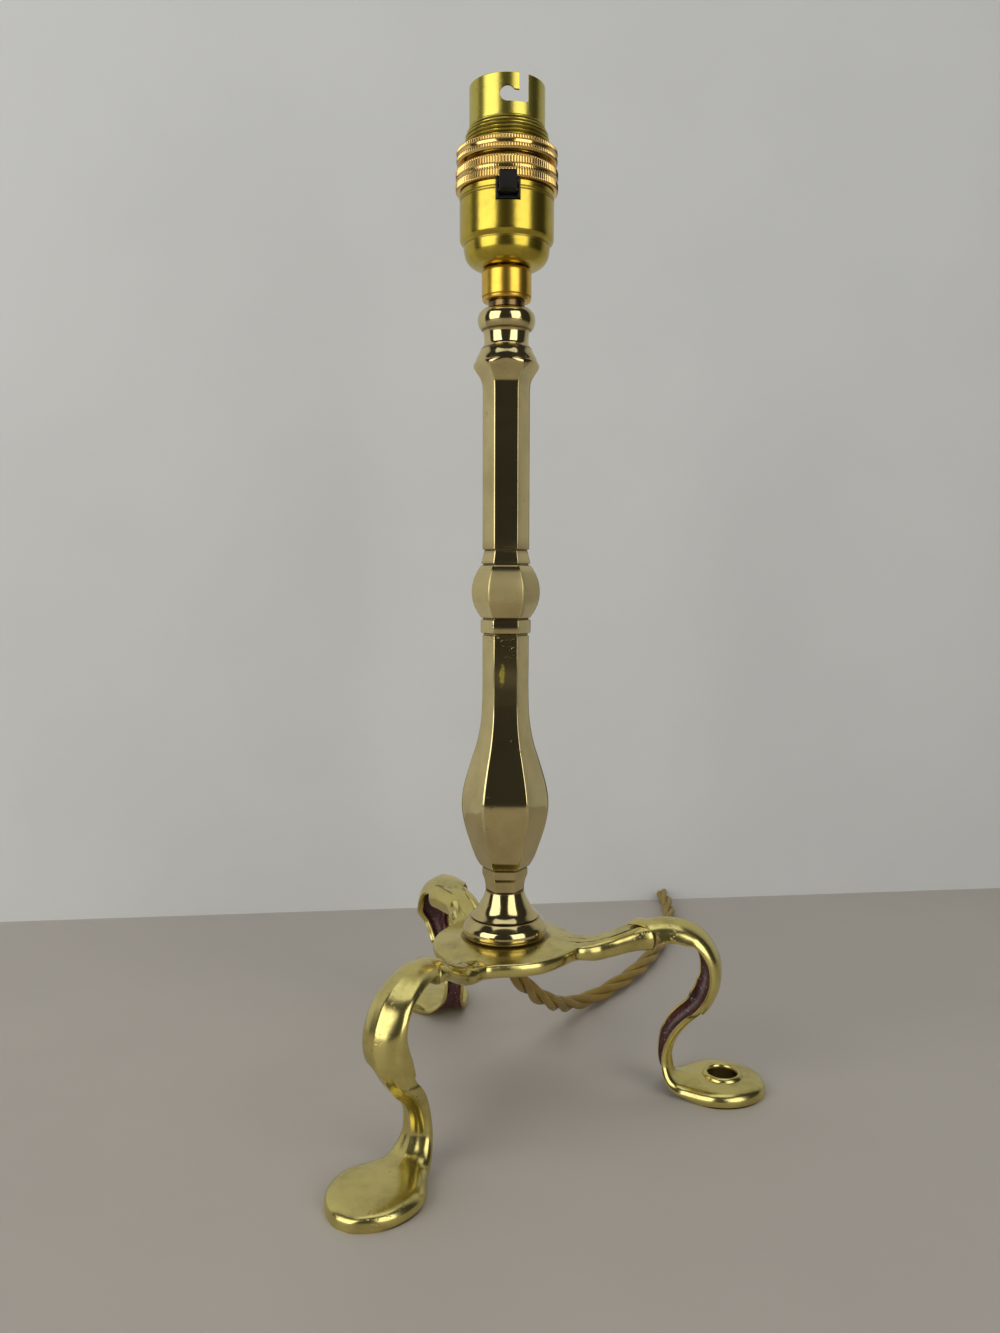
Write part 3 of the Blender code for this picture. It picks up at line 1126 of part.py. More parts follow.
def plug_shell(name, bottom, height, low_inset, high_inset):
    """A plug half: a box with cut corners, tapered from bottom to top."""
    corner_share = 0.28
    rings = []
    for z, inset in ((bottom, low_inset), (bottom + height, high_inset)):
        half_x = PLUG_WIDTH / 2 - inset
        front = PLUG_ENTRY_Y - inset * (1 if inset else 0)
        back = PLUG_ENTRY_Y - PLUG_LENGTH + inset
        cut_x = half_x * (1 - corner_share)
        cut_y = corner_share * PLUG_LENGTH / 2
        corners = [
            (half_x, back + cut_y), (half_x, front), (-half_x, front), (-half_x, back + cut_y),
            (-cut_x, back), (cut_x, back),
        ]
        rings.append([(PLUG_CENTRE_X + x, y, z) for x, y in corners])
    return loft(name, rings)


def build_plug(shop):
    """A fused three-pin plug: cover below, base with the pins above."""
    cover = plug_shell("plug_cover", 0, PLUG_COVER_HEIGHT, PLUG_TAPER, 0)
    cavity_height = PLUG_COVER_HEIGHT - PLUG_WALL
    middle_y = PLUG_ENTRY_Y - PLUG_LENGTH / 2
    cavity_size = (PLUG_WIDTH - 2 * PLUG_WALL - 2 * PLUG_TAPER, PLUG_LENGTH - 2 * PLUG_WALL - 2 * PLUG_TAPER,
                   cavity_height + OVERRUN)
    cavity_z = PLUG_WALL + (cavity_height + OVERRUN) / 2
    cut(shop, cover, box("plug_cavity", cavity_size, (PLUG_CENTRE_X, middle_y, cavity_z)))
    shop.hang(cover, "black_plastic")
    base_bottom = PLUG_COVER_HEIGHT + GAP
    base_top = base_bottom + PLUG_BASE_HEIGHT
    base = plug_shell("plug_base", base_bottom, PLUG_BASE_HEIGHT, 0, 0)
    row_y = PLUG_ENTRY_Y - PIN_ROW_SETBACK
    earth_y = row_y - PIN_ROW_SPACING
    half = PIN_SPACING / 2
    pins = (
        ("plug_live_pin", LINE_PIN_SIZE, (PLUG_CENTRE_X - half, row_y)),
        ("plug_neutral_pin", LINE_PIN_SIZE, (PLUG_CENTRE_X + half, row_y)),
        ("plug_earth_pin", EARTH_PIN_SIZE, (PLUG_CENTRE_X, earth_y)),
    )
    for name, (wide, long, tall), (x, y) in pins:
        root = base_top - PIN_ROOT
        slot = (wide + 2 * GAP, long + 2 * GAP, PIN_ROOT + OVERRUN)
        cut(shop, base, box(f"{name}_slot", slot, (x, y, root - GAP + slot[2] / 2)))
        length = tall + PIN_ROOT
        pin = box(name, (wide, long, length), (x, y, root + length / 2))
        shop.hang(pin, "holder_brass")
    screw_y = (row_y + earth_y) / 2 + PLUG_SCREW_OFFSET
    screw_z = base_top - PLUG_SCREW_LENGTH / 2
    screw_hole = rod("plug_screw_hole", PLUG_SCREW_RADIUS + GAP, PLUG_SCREW_LENGTH + OVERRUN,
                     (PLUG_CENTRE_X, screw_y, screw_z))
    cut(shop, base, screw_hole)
    screw = rod("plug_cover_screw", PLUG_SCREW_RADIUS, PLUG_SCREW_LENGTH, (PLUG_CENTRE_X, screw_y, screw_z))
    shop.hang(screw, "plated_steel")
    shop.hang(base, "black_plastic")
    fuse_z = PLUG_COVER_HEIGHT - FUSE_RADIUS - GAP
    fuse_x = PLUG_CENTRE_X - half
    fuse_y = row_y - FUSE_LENGTH / 2
    shop.hang(rod("plug_fuse", FUSE_RADIUS, FUSE_LENGTH, (fuse_x, fuse_y, fuse_z), "Y"), "fuse_ceramic")


def main():
    """Builds the whole lamp."""
    shop = Workshop()
    build_column(shop)
    build_plate(shop)
    for name, angle, spread_out in zip(("right", "back_left", "front_left"), LEG_ANGLES, FOOT_SPREADS):
        build_leg(shop, f"leg_{name}", angle, spread_out, holed=name == "right")
    build_bush(shop)
    build_entry(shop)
    build_cap(shop)
    build_rings(shop)
    build_barrel(shop)
    build_insulator(shop)
    build_terminals(shop)
    build_switch(shop)
    build_flex(shop)
    build_tie(shop)
    build_plug(shop)
    bpy.context.view_layer.update()


main()
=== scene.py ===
import logging
import math
from dataclasses import dataclass
from enum import Enum
from typing import Callable, Optional, Sequence

import bpy
from mathutils import Matrix, Vector


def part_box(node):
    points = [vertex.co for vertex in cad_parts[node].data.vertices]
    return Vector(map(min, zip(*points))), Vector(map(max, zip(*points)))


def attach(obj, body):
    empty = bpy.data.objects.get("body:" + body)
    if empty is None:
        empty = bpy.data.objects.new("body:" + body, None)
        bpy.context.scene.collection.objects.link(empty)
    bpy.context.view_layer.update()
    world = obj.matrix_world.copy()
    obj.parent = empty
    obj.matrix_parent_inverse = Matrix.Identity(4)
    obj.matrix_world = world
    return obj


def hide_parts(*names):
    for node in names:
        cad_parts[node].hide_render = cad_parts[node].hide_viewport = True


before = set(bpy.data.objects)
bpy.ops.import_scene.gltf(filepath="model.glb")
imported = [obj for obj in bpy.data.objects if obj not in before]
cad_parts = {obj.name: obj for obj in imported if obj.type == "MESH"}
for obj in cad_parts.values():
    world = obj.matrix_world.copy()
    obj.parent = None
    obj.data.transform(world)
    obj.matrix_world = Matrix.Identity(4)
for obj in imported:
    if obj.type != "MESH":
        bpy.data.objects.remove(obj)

log = logging.getLogger("lamp")
RGB = tuple[float, float, float]
Row = list[Vector]
Line = tuple[tuple[float, float], ...]
MM = 0.001
WELD = 0.000001
SHADE_AND_GRIME = "shade_and_grime"


class Body(Enum):
    """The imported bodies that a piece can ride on."""

    LAMP = "lamp"
    ROCKER = "rocker"
    LEFT_PLUNGER = "left_plunger"
    RIGHT_PLUNGER = "right_plunger"
    SHADE_RING = "shade_ring"


class Axis(Enum):
    """The way that a rod points, as its turn from upright."""

    Y = (math.pi / 2, 0.0, 0.0)
    Z = (0.0, 0.0, 0.0)


# ---- Bench tools


def clear() -> None:
    """Leaves edit mode and deselects every object."""
    if bpy.context.object and bpy.context.object.mode != "OBJECT":
        bpy.ops.object.mode_set(mode="OBJECT")
    bpy.ops.object.select_all(action="DESELECT")


def take(piece: bpy.types.Object) -> None:
    """Selects one piece alone and makes it active."""
    clear()
    piece.select_set(True)
    bpy.context.view_layer.objects.active = piece


def named(name: str) -> bpy.types.Object:
    """Names the piece just made, and its mesh, and returns it."""
    piece = bpy.context.object
    piece.name = name
    piece.data.name = name
    return piece


def tidy_faces() -> None:
    """In edit mode, merges the doubles of the whole mesh and turns its faces outwards."""
    bpy.ops.mesh.select_all(action="SELECT")
    bpy.ops.mesh.remove_doubles(threshold=WELD)
    bpy.ops.mesh.normals_make_consistent(inside=False)


def shade(piece: bpy.types.Object, degrees: float = 35.0) -> None:
    """Shades a piece smooth, apart from edges sharper than an angle."""
    take(piece)
    bpy.ops.object.shade_smooth_by_angle(angle=math.radians(degrees))


def mark_shade_and_grime(piece: bpy.types.Object, share_at: Callable[[Vector], float]) -> None:
    """Marks how dark each point of a piece is painted: painted shade in its hollows and grooves,
    and some patina.
    """
    layer = piece.data.attributes.new(SHADE_AND_GRIME, "FLOAT", "POINT")
    layer.data.foreach_set("value", [share_at(vertex.co) for vertex in piece.data.vertices])


def wrap(
    name: str,
    rows: Sequence[Sequence[Vector]],
    ring: bool = False,
    slots: Optional[Sequence[int]] = None,
    shade_and_grime: Optional[Callable[[Vector], float]] = None,
    degrees: float = 35.0,
) -> bpy.types.Object:
    """Wraps a grid round a shape, row by row, and closes its seam.

    Args:
        name: the piece's name.
        rows: rings of as many points each; a row of one repeated point is a pole.
        ring: whether the last row joins the first.
        slots: the material slot of each column.
        shade_and_grime: how dark a point is painted, as painted shade in hollows and grooves, and
            some patina.
        degrees: the angle past which an edge stays sharp.

    Returns:
        The piece, with its place in its mesh.
    """
    count = len(rows[0])
    lines = [[*row, row[0]] for row in rows]
    if ring:
        lines.append(lines[0])
    clear()
    bpy.ops.mesh.primitive_grid_add(x_subdivisions=count, y_subdivisions=len(lines) - 1, size=1,
                                    location=(0, 0, 0))
    piece = named(name)
    points = [point for line in lines for point in line]
    piece.data.vertices.foreach_set("co", [value for point in points for value in point])
    if slots:
        piece.data.polygons.foreach_set("material_index", list(slots) * (len(lines) - 1))
    if shade_and_grime:
        mark_shade_and_grime(piece, shade_and_grime)
    bpy.ops.object.mode_set(mode="EDIT")
    tidy_faces()
    shade(piece, degrees)
    return piece


def lathe(name: str, profile: Sequence[tuple[float, float]], steps: int = 96,
          degrees: float = 30.0) -> bpy.types.Object:
    """Turns a closed profile round the upright axis, as on a lathe.

    Args:
        name: the piece's name.
        profile: (radius, height) points in millimetres, with no point twice.
        steps: the faces in a full turn.
        degrees: the angle past which an edge stays sharp.

    Returns:
        The turned piece.
    """
    if profile[0][0] > 0:
        profile = [*profile, profile[0]]
    points = [Vector((radius * MM, 0.0, height * MM)) for radius, height in braced(profile)]
    clear()
    bpy.ops.mesh.primitive_plane_add(size=MM, location=(0, 0, 0))
    piece = named(name)
    bpy.ops.object.mode_set(mode="EDIT")
    bpy.ops.mesh.select_all(action="SELECT")
    bpy.ops.mesh.merge(type="CENTER")
    bpy.ops.transform.translate(value=points[0])
    for start, end in zip(points, points[1:]):
        bpy.ops.mesh.extrude_region_move(TRANSFORM_OT_translate={"value": end - start})
    bpy.ops.mesh.select_all(action="SELECT")
    bpy.ops.mesh.spin(steps=steps, angle=math.tau, center=(0, 0, 0), axis=(0, 0, 1))
    tidy_faces()
    shade(piece, degrees)
    return piece


def braced(profile: Sequence[tuple[float, float]], gap: float = 0.2) -> list[tuple[float, float]]:
    """Adds a point close to both ends of each long stretch, so that it is shaded flat.

    Args:
        profile: the outline's points, in order.
        gap: how close the added points lie, in the outline's own units.

    Returns:
        The outline with its added points.
    """
    points = []
    for start, end in zip(profile, profile[1:]):
        points.append(start)
        length = math.dist(start, end)
        if length > 6 * gap:
            close = (gap / length, 1 - gap / length)
            points += [tuple(Vector(start).lerp(Vector(end), share)) for share in close]
    return [*points, profile[-1]]


def block(name: str, size: Sequence[float], centre: Sequence[float]) -> bpy.types.Object:
    """Adds a box of a size at a place, for cutting with or for shaping further."""
    clear()
    bpy.ops.mesh.primitive_cube_add(size=1, location=centre, scale=size)
    bpy.ops.object.transform_apply(location=True, rotation=True, scale=True)
    return named(name)


def rod(name: str, radius: float, length: float, centre: Sequence[float], axis: Axis,
        sides: int = 48) -> bpy.types.Object:
    """Adds a round bar along an axis, for cutting with or for shaping further."""
    clear()
    bpy.ops.mesh.primitive_cylinder_add(
        vertices=sides, radius=radius, depth=length, location=centre, rotation=axis.value
    )
    bpy.ops.object.transform_apply(location=True, rotation=True, scale=True)
    return named(name)


def carve(piece: bpy.types.Object, tool: bpy.types.Object) -> None:
    """Cuts a tool's shape out of a piece, and puts the tool away."""
    take(piece)
    modifier = piece.modifiers.new("carve", "BOOLEAN")
    modifier.operation = "DIFFERENCE"
    modifier.solver = "EXACT"
    modifier.object = tool
    bpy.ops.object.modifier_apply(modifier=modifier.name)
    bpy.data.objects.remove(tool)


def soften(piece: bpy.types.Object, width: float, segments: int = 3, degrees: float = 40.0) -> None:
    """Rounds the sharp edges of a piece to a width."""
    take(piece)
    modifier = piece.modifiers.new("soften", "BEVEL")
    modifier.width = width
    modifier.segments = segments
    modifier.limit_method = "ANGLE"
    modifier.angle_limit = math.radians(degrees)
    bpy.ops.object.modifier_apply(modifier=modifier.name)
    shade(piece, 50.0)


def joined(name: str, pieces: Sequence[bpy.types.Object]) -> bpy.types.Object:
    """Joins pieces of one body into one mesh under a name."""
    take(pieces[0])
    for piece in pieces[1:]:
        piece.select_set(True)
    bpy.ops.object.join()
    return named(name)


def smooth_line(points: Sequence[Sequence[float]], steps: int) -> list[Vector]:
    """Draws a smooth line through points of any number of values.

    Args:
        points: the points that the line goes through.
        steps: the steps from each point to the next.

    Returns:
        The line's points, both ends included.
    """
    knots = [Vector(point) for point in points]
    knots = [knots[0] * 2 - knots[1], *knots, knots[-1] * 2 - knots[-2]]
    line = []
    for a, b, c, d in zip(knots, knots[1:], knots[2:], knots[3:]):
        for step in range(steps):
            t = step / steps
            curve = (2 * b + (c - a) * t + (2 * a - 5 * b + 4 * c - d) * t**2
                     + (3 * b - a - 3 * c + d) * t**3)
            line.append(curve / 2)
    line.append(knots[-2])
    return line


def even_line(points: Sequence[Vector], spacing: float, measured: int = 3) -> list[Vector]:
    """Puts points at an even spacing along a line, measured over its first few values."""
    lengths = [0.0]
    for a, b in zip(points, points[1:]):
        lengths.append(lengths[-1] + math.dist(a[:measured], b[:measured]))
    count = max(2, round(lengths[-1] / spacing))
    even, at = [], 0
    for n in range(count + 1):
        wanted = lengths[-1] * n / count
        while at < len(lengths) - 2 and lengths[at + 1] < wanted:
            at += 1
        span = lengths[at + 1] - lengths[at]
        even.append(points[at].lerp(points[at + 1], (wanted - lengths[at]) / span if span else 0.0))
    return even


def between(x: float, pairs: Sequence[tuple[float, float]]) -> float:
    """Reads a value off a bent line of (place, value) pairs."""
    if x <= pairs[0][0]:
        return pairs[0][1]
    for (x0, y0), (x1, y1) in zip(pairs, pairs[1:]):
        if x <= x1:
            return y0 + (y1 - y0) * (x - x0) / (x1 - x0)
    return pairs[-1][1]


def bell(offset: float, width: float) -> float:
    """A smooth hump, 1 high, round an offset of nothing."""
    return math.exp(-((offset / width) ** 2))


def turned(reach: float, angle: float, height: float) -> Vector:
    """The point at a reach from the axis, an angle round it and a height."""
    return Vector((reach * math.cos(angle), reach * math.sin(angle), height))


def ease(x: float) -> float:
    """A smooth step from 0 to 1 as x goes from 0 to 1."""
    x = min(max(x, 0.0), 1.0)
    return x * x * (3 - 2 * x)


def eased(x: float, pairs: Sequence[tuple[float, float]]) -> float:
    """Reads a value off (place, value) pairs that are joined by smooth steps."""
    value = pairs[0][1]
    for (x0, y0), (x1, y1) in zip(pairs, pairs[1:]):
        value += (y1 - y0) * ease((x - x0) / (x1 - x0))
    return value


def tube(name: str, path: Sequence[Vector], radii: Callable[[float], float],
         sides: int = 16) -> bpy.types.Object:
    """Wraps a closed tube round a path, its radius given by the share of the way along."""
    frames = carried_frames(path)
    rows = [[path[0]] * sides]
    for n, (centre, (across, over)) in enumerate(zip(path, frames)):
        radius = radii(n / (len(path) - 1))
        turns = [math.tau * k / sides for k in range(sides)]
        rows.append([centre + (across * math.cos(a) + over * math.sin(a)) * radius for a in turns])
    rows.append([path[-1]] * sides)
    return wrap(name, rows)


def carried_frames(path: Sequence[Vector]) -> list[tuple[Vector, Vector]]:
    """Carries a pair of crosswise directions along a path without twisting them."""
    ways = [(b - a).normalized() for a, b in zip(path, path[1:])]
    ways.append(ways[-1])
    across = ways[0].orthogonal().normalized()
    frames = []
    for way in ways:
        across = (across - way * across.dot(way)).normalized()
        frames.append((across, way.cross(across)))
    return frames


def dress(piece: bpy.types.Object, *materials: bpy.types.Material) -> None:
    """Gives a new piece its materials, one for each slot."""
    for material in materials:
        piece.data.materials.append(material)


def settle(
    piece: bpy.types.Object, body: Body, material: Optional[bpy.types.Material], *nodes: str
) -> bpy.types.Object:
    """Dresses a piece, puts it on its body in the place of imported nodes, and reports it.

    Args:
        piece: the finished piece.
        body: the body that it rides on.
        material: its material, or none where it is dressed already.
        nodes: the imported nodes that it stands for.

    Returns:
        The piece.
    """
    if material:
        dress(piece, material)
    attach(piece, body.value)
    if nodes:
        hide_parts(*nodes)
    log.info("%s: %d faces, on %s", piece.name, len(piece.data.polygons), body.value)
    return piece


def dress_nodes(material: bpy.types.Material, *nodes: str) -> None:
    """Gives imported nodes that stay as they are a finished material."""
    for name in nodes:
        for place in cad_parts[name].material_slots:
            place.material = material
        log.info("%s: kept, in %s", name, material.name)


# ---- Finishes


class Recipe:
    """A shader tree while it is being laid out."""

    def __init__(self, tree: bpy.types.NodeTree) -> None:
        """Starts on a tree."""
        self.tree = tree

    def add(self, kind: str, inputs: Optional[dict] = None, **settings) -> bpy.types.Node:
        """Adds a node.

        Args:
            kind: the node's type.
            inputs: values or sockets for its inputs, by name or number.
            settings: the node's own properties.

        Returns:
            The node.
        """
        node = self.tree.nodes.new(kind)
        for key, value in settings.items():
            setattr(node, key, value)
        for key, value in (inputs or {}).items():
            if isinstance(value, bpy.types.NodeSocket):
                self.tree.links.new(value, node.inputs[key])
            else:
                node.inputs[key].default_value = value
        return node

    def math(self, operation: str, a, b=0.0, c=0.0) -> bpy.types.NodeSocket:
        """Adds a sum of numbers or sockets and returns its result."""
        return self.add("ShaderNodeMath", {0: a, 1: b, 2: c}, operation=operation).outputs[0]

    def mix(self, share, a, b) -> bpy.types.NodeSocket:
        """Mixes two colours, given as colours or sockets, by a share and returns the result."""
        full = {6: a if isinstance(a, bpy.types.NodeSocket) else (*a, 1.0),
                7: b if isinstance(b, bpy.types.NodeSocket) else (*b, 1.0), 0: share}
        return self.add("ShaderNodeMix", full, data_type="RGBA").outputs[2]

    def ramp(self, value, low: float, high: float, to_low: float = 0.0,
             to_high: float = 1.0) -> bpy.types.NodeSocket:
        """Spreads the stretch from low to high over a new range, clamped and eased."""
        places = {0: value, 1: low, 2: high, 3: to_low, 4: to_high}
        return self.add("ShaderNodeMapRange", places, interpolation_type="SMOOTHSTEP").outputs[0]

    def noise(self, where, scale, detail: float = 2.0,
              roughness: float = 0.5) -> bpy.types.NodeSocket:
        """Adds a noise over a coordinate and returns its value."""
        inputs = {"Vector": where, "Scale": scale, "Detail": detail, "Roughness": roughness}
        return self.add("ShaderNodeTexNoise", inputs).outputs[0]


class Pattern(Recipe):
    """A shared pattern that reads a place and some numbers, and puts out numbers."""

    def __init__(self, name: str, numbers: Sequence[str], results: Sequence[str]) -> None:
        """Starts the pattern.

        Args:
            name: the pattern's name.
            numbers: its inputs, after the place.
            results: its outputs.
        """
        super().__init__(bpy.data.node_groups.new(name, "ShaderNodeTree"))
        sockets = [("Vector", "INPUT", "NodeSocketVector")]
        sockets += [(number, "INPUT", "NodeSocketFloat") for number in numbers]
        sockets += [(result, "OUTPUT", "NodeSocketFloat") for result in results]
        for socket, way, kind in sockets:
            self.tree.interface.new_socket(name=socket, in_out=way, socket_type=kind)
        self.given = self.add("NodeGroupInput").outputs
        self.where = self.given["Vector"]
        self.end = self.add("NodeGroupOutput")

    def give(self, result: str, value: bpy.types.NodeSocket) -> None:
        """Puts a value out as a result."""
        self.tree.links.new(value, self.end.inputs[result])


class Finish(Recipe):
    """A material while it is being laid out round its one shader."""

    def __init__(self, name: str, plain: dict[str, float]) -> None:
        """Starts the material and sets the shader's values that are the same all over."""
        self.material = bpy.data.materials.new(name)
        self.material.use_nodes = True
        super().__init__(self.material.node_tree)
        self.shader = self.tree.nodes["Principled BSDF"]
        for socket, value in plain.items():
            self.shader.inputs[socket].default_value = value
        self.places = self.add("ShaderNodeTexCoord").outputs
        self.where = self.places["Object"]

    def place(self, group: bpy.types.NodeTree, inputs: dict) -> bpy.types.bpy_prop_collection:
        """Places a shared pattern with its inputs, over the piece, and returns its outputs."""
        return self.add("ShaderNodeGroup", {"Vector": self.where, **inputs},
                        node_tree=group).outputs

    def vector(self, operation: str, inputs: dict, result: str) -> bpy.types.NodeSocket:
        """Works on places and returns the named result."""
        return self.add("ShaderNodeVectorMath", inputs, operation=operation).outputs[result]

    def feed(self, socket: str, value: bpy.types.NodeSocket) -> None:
        """Links a value to the shader."""
        self.tree.links.new(value, self.shader.inputs[socket])

    def end(self, colour, rough, height) -> bpy.types.Material:
        """Feeds the shader its colour, roughness and relief, and returns the material."""
        bump = self.add("ShaderNodeBump", {"Height": height, "Distance": 1.0, "Strength": 1.0})
        self.feed("Base Color", colour)
        self.feed("Roughness", rough)
        self.feed("Normal", bump.outputs[0])
        return self.material


def metal_skin() -> bpy.types.NodeTree:
    """The relief of hand-finished metal: long waves from the buff, casting pits and fine grain."""
    patch_scale, grain_scale = 95.0, 2600.0
    sizes = ("Wave size", "Wave depth", "Pit size", "Pit depth", "Pit share", "Grain depth")
    skin = Pattern("metal_skin", sizes, ("Height", "Pits"))
    given = skin.given
    waves = skin.noise(skin.where, skin.math("DIVIDE", 1.0, given["Wave size"]), 1.5, 0.4)
    pit_scale = skin.math("DIVIDE", 1.0, given["Pit size"])
    cells = skin.add("ShaderNodeTexVoronoi",
                     {"Vector": skin.where, "Scale": pit_scale, "Randomness": 1.0})
    patches = skin.noise(skin.where, patch_scale, 2.0, 0.6)
    hole = skin.ramp(cells.outputs["Distance"], 0.12, 0.34, 1.0, 0.0)
    chosen = skin.ramp(skin.math("ADD", patches, given["Pit share"]), 0.58, 0.7)
    pits = skin.math("MULTIPLY", hole, chosen)
    grain = skin.noise(skin.where, grain_scale, 1.0, 0.5)
    height = skin.math("MULTIPLY", waves, given["Wave depth"])
    height = skin.math("SUBTRACT", height, skin.math("MULTIPLY", pits, given["Pit depth"]))
    skin.give("Height", skin.math("MULTIPLY_ADD", grain, given["Grain depth"], height))
    skin.give("Pits", pits)
    return skin.tree


def tarnish_and_shade() -> bpy.types.NodeTree:
    """Where the metal dulls and darkens: patina clouds and pits over the piece, and the painted
    shade marked in its grooves and hollows.
    """
    pit_stain = 0.8
    dirt_and_shade = Pattern("tarnish_and_shade", ("Cloud size", "Share", "Pits"), ("Stain_and_shade", "Dull"))
    given = dirt_and_shade.given
    clouds = dirt_and_shade.noise(dirt_and_shade.where, dirt_and_shade.math("DIVIDE", 1.0, given["Cloud size"]), 4.0, 0.62)
    marked = dirt_and_shade.add("ShaderNodeAttribute", attribute_name=SHADE_AND_GRIME,
                      attribute_type="GEOMETRY").outputs["Fac"]
    spread = dirt_and_shade.math("MULTIPLY", dirt_and_shade.ramp(clouds, 0.38, 0.72), given["Share"])
    # Painted shade: the points marked dark on the mesh, in grooves, hollows and under edges.
    grooves = dirt_and_shade.math("MULTIPLY", marked, dirt_and_shade.ramp(clouds, 0.15, 0.6, 0.65, 1.0))
    stain_and_shade = dirt_and_shade.math("MAXIMUM", spread, grooves)
    stain_and_shade = dirt_and_shade.math("MAXIMUM", stain_and_shade, dirt_and_shade.math("MULTIPLY", given["Pits"], pit_stain))
    dirt_and_shade.give("Stain_and_shade", dirt_and_shade.add("ShaderNodeClamp", {0: stain_and_shade}).outputs[0])
    dirt_and_shade.give("Dull", dirt_and_shade.math("ADD", dirt_and_shade.math("MULTIPLY", clouds, 0.5), grooves))
    return dirt_and_shade.tree


def turning_lines() -> bpy.types.NodeTree:
    """Fine rings left by the lathe, as a height that changes up the axis."""
    sway = 25.0
    lathe_marks = Pattern("turning_lines", ("Line size",), ("Lines",))
    across, over, up = lathe_marks.add("ShaderNodeSeparateXYZ", {0: lathe_marks.where}).outputs
    height = lathe_marks.math("DIVIDE", up, lathe_marks.given["Line size"])
    sways = [lathe_marks.math("MULTIPLY", part, sway) for part in (across, over)]
    place = lathe_marks.add("ShaderNodeCombineXYZ",
                            {0: sways[0], 1: sways[1], 2: height}).outputs[0]
    lathe_marks.give("Lines", lathe_marks.noise(place, 1.0, 2.0, 0.6))
    return lathe_marks.tree


@dataclass(frozen=True)
class Metal:
    """A brass or steel finish, its sizes in metres."""

    name: str
    colour: RGB
    # The dark colour of patina, which the painted shade in marked grooves and hollows also uses.
    stain_and_shade: RGB
    rough: tuple[float, float]
    stain_share: float = 0.25
    cloud_size: float = 0.012
    wave_size: float = 0.007
    wave_depth: float = 0.00002
    pit_size: float = 0.0011
    pit_depth: float = 0.00004
    pit_share: float = 0.0
    grain_depth: float = 0.0
    line_depth: float = 0.0
    line_size: float = 0.0004
    rough_patch: Optional[tuple[float, float, float]] = None
    patch_edge: tuple[float, float] = (0.002, 0.0052)
    patch_scale: float = 560.0
    patch_depth: float = 0.0006
    brushed: Optional[tuple[float, float]] = None
    brushed_rough: float = 0.32
    smear: Optional[tuple[float, float, float]] = None
    smear_squash: tuple[float, float, float] = (1.0, 1.0, 0.28)
    smear_edge: tuple[float, float] = (0.0012, 0.0019)
    smear_colour: RGB = (1.0, 0.85, 0.15)
    smear_rough: float = 0.18
    smear_scale: float = 900.0
    smear_ragged: float = 0.0012

    def make(self, patterns: dict[str, bpy.types.NodeTree]) -> bpy.types.Material:
        """Lays out the material.

        Args:
            patterns: the shared patterns by name.

        Returns:
            The finished material.
        """
        finish = Finish(self.name, {"Metallic": 1.0})
        skin = finish.place(patterns["metal_skin"], {
            "Wave size": self.wave_size, "Wave depth": self.wave_depth,
            "Pit size": self.pit_size, "Pit depth": self.pit_depth, "Pit share": self.pit_share,
            "Grain depth": self.grain_depth})
        dirt_and_shade = finish.place(patterns["tarnish_and_shade"], {
            "Cloud size": self.cloud_size, "Share": self.stain_share, "Pits": skin["Pits"]})
        # Darkened by patina, and by painted shade in the marked grooves and hollows.
        colour = finish.mix(dirt_and_shade["Stain_and_shade"], self.colour, self.stain_and_shade)
        rough = finish.ramp(dirt_and_shade["Dull"], 0.15, 0.9, *self.rough)
        height = skin["Height"]
        if self.line_depth:
            lines = finish.place(patterns["turning_lines"], {"Line size": self.line_size})
            height = finish.math("MULTIPLY_ADD", lines["Lines"], self.line_depth, height)
        if self.rough_patch:
            apart = finish.vector("DISTANCE", {0: finish.where, 1: self.rough_patch}, "Value")
            near = finish.ramp(apart, *self.patch_edge, 1.0, 0.0)
            lumps = finish.math("MULTIPLY", finish.noise(finish.where, self.patch_scale, 1.0), near)
            height = finish.math("MULTIPLY_ADD", lumps, self.patch_depth, height)
        if self.brushed:
            low, high = self.brushed
            upright = finish.add("ShaderNodeSeparateXYZ", {0: finish.where}).outputs[2]
            rise = finish.ramp(upright, low - 0.001, low + 0.002)
            band = finish.math("MULTIPLY", rise, finish.ramp(upright, high - 0.002, high, 1.0, 0.0))
            rough = finish.math("MULTIPLY_ADD", band, self.brushed_rough, rough)
        if self.smear:
            centre = finish.vector("SUBTRACT", {0: finish.where, 1: self.smear}, "Vector")
            drawn = finish.vector("MULTIPLY", {0: centre, 1: self.smear_squash}, "Vector")
            apart = finish.vector("LENGTH", {0: drawn}, "Value")
            torn = finish.noise(finish.where, self.smear_scale, 2.0)
            ragged = finish.math("MULTIPLY_ADD", torn, self.smear_ragged, apart)
            worn = finish.ramp(ragged, *self.smear_edge, 1.0, 0.0)
            colour = finish.mix(worn, colour, self.smear_colour)
            rough = finish.math("MULTIPLY_ADD", worn, self.smear_rough, rough)
        return finish.end(colour, rough, height)


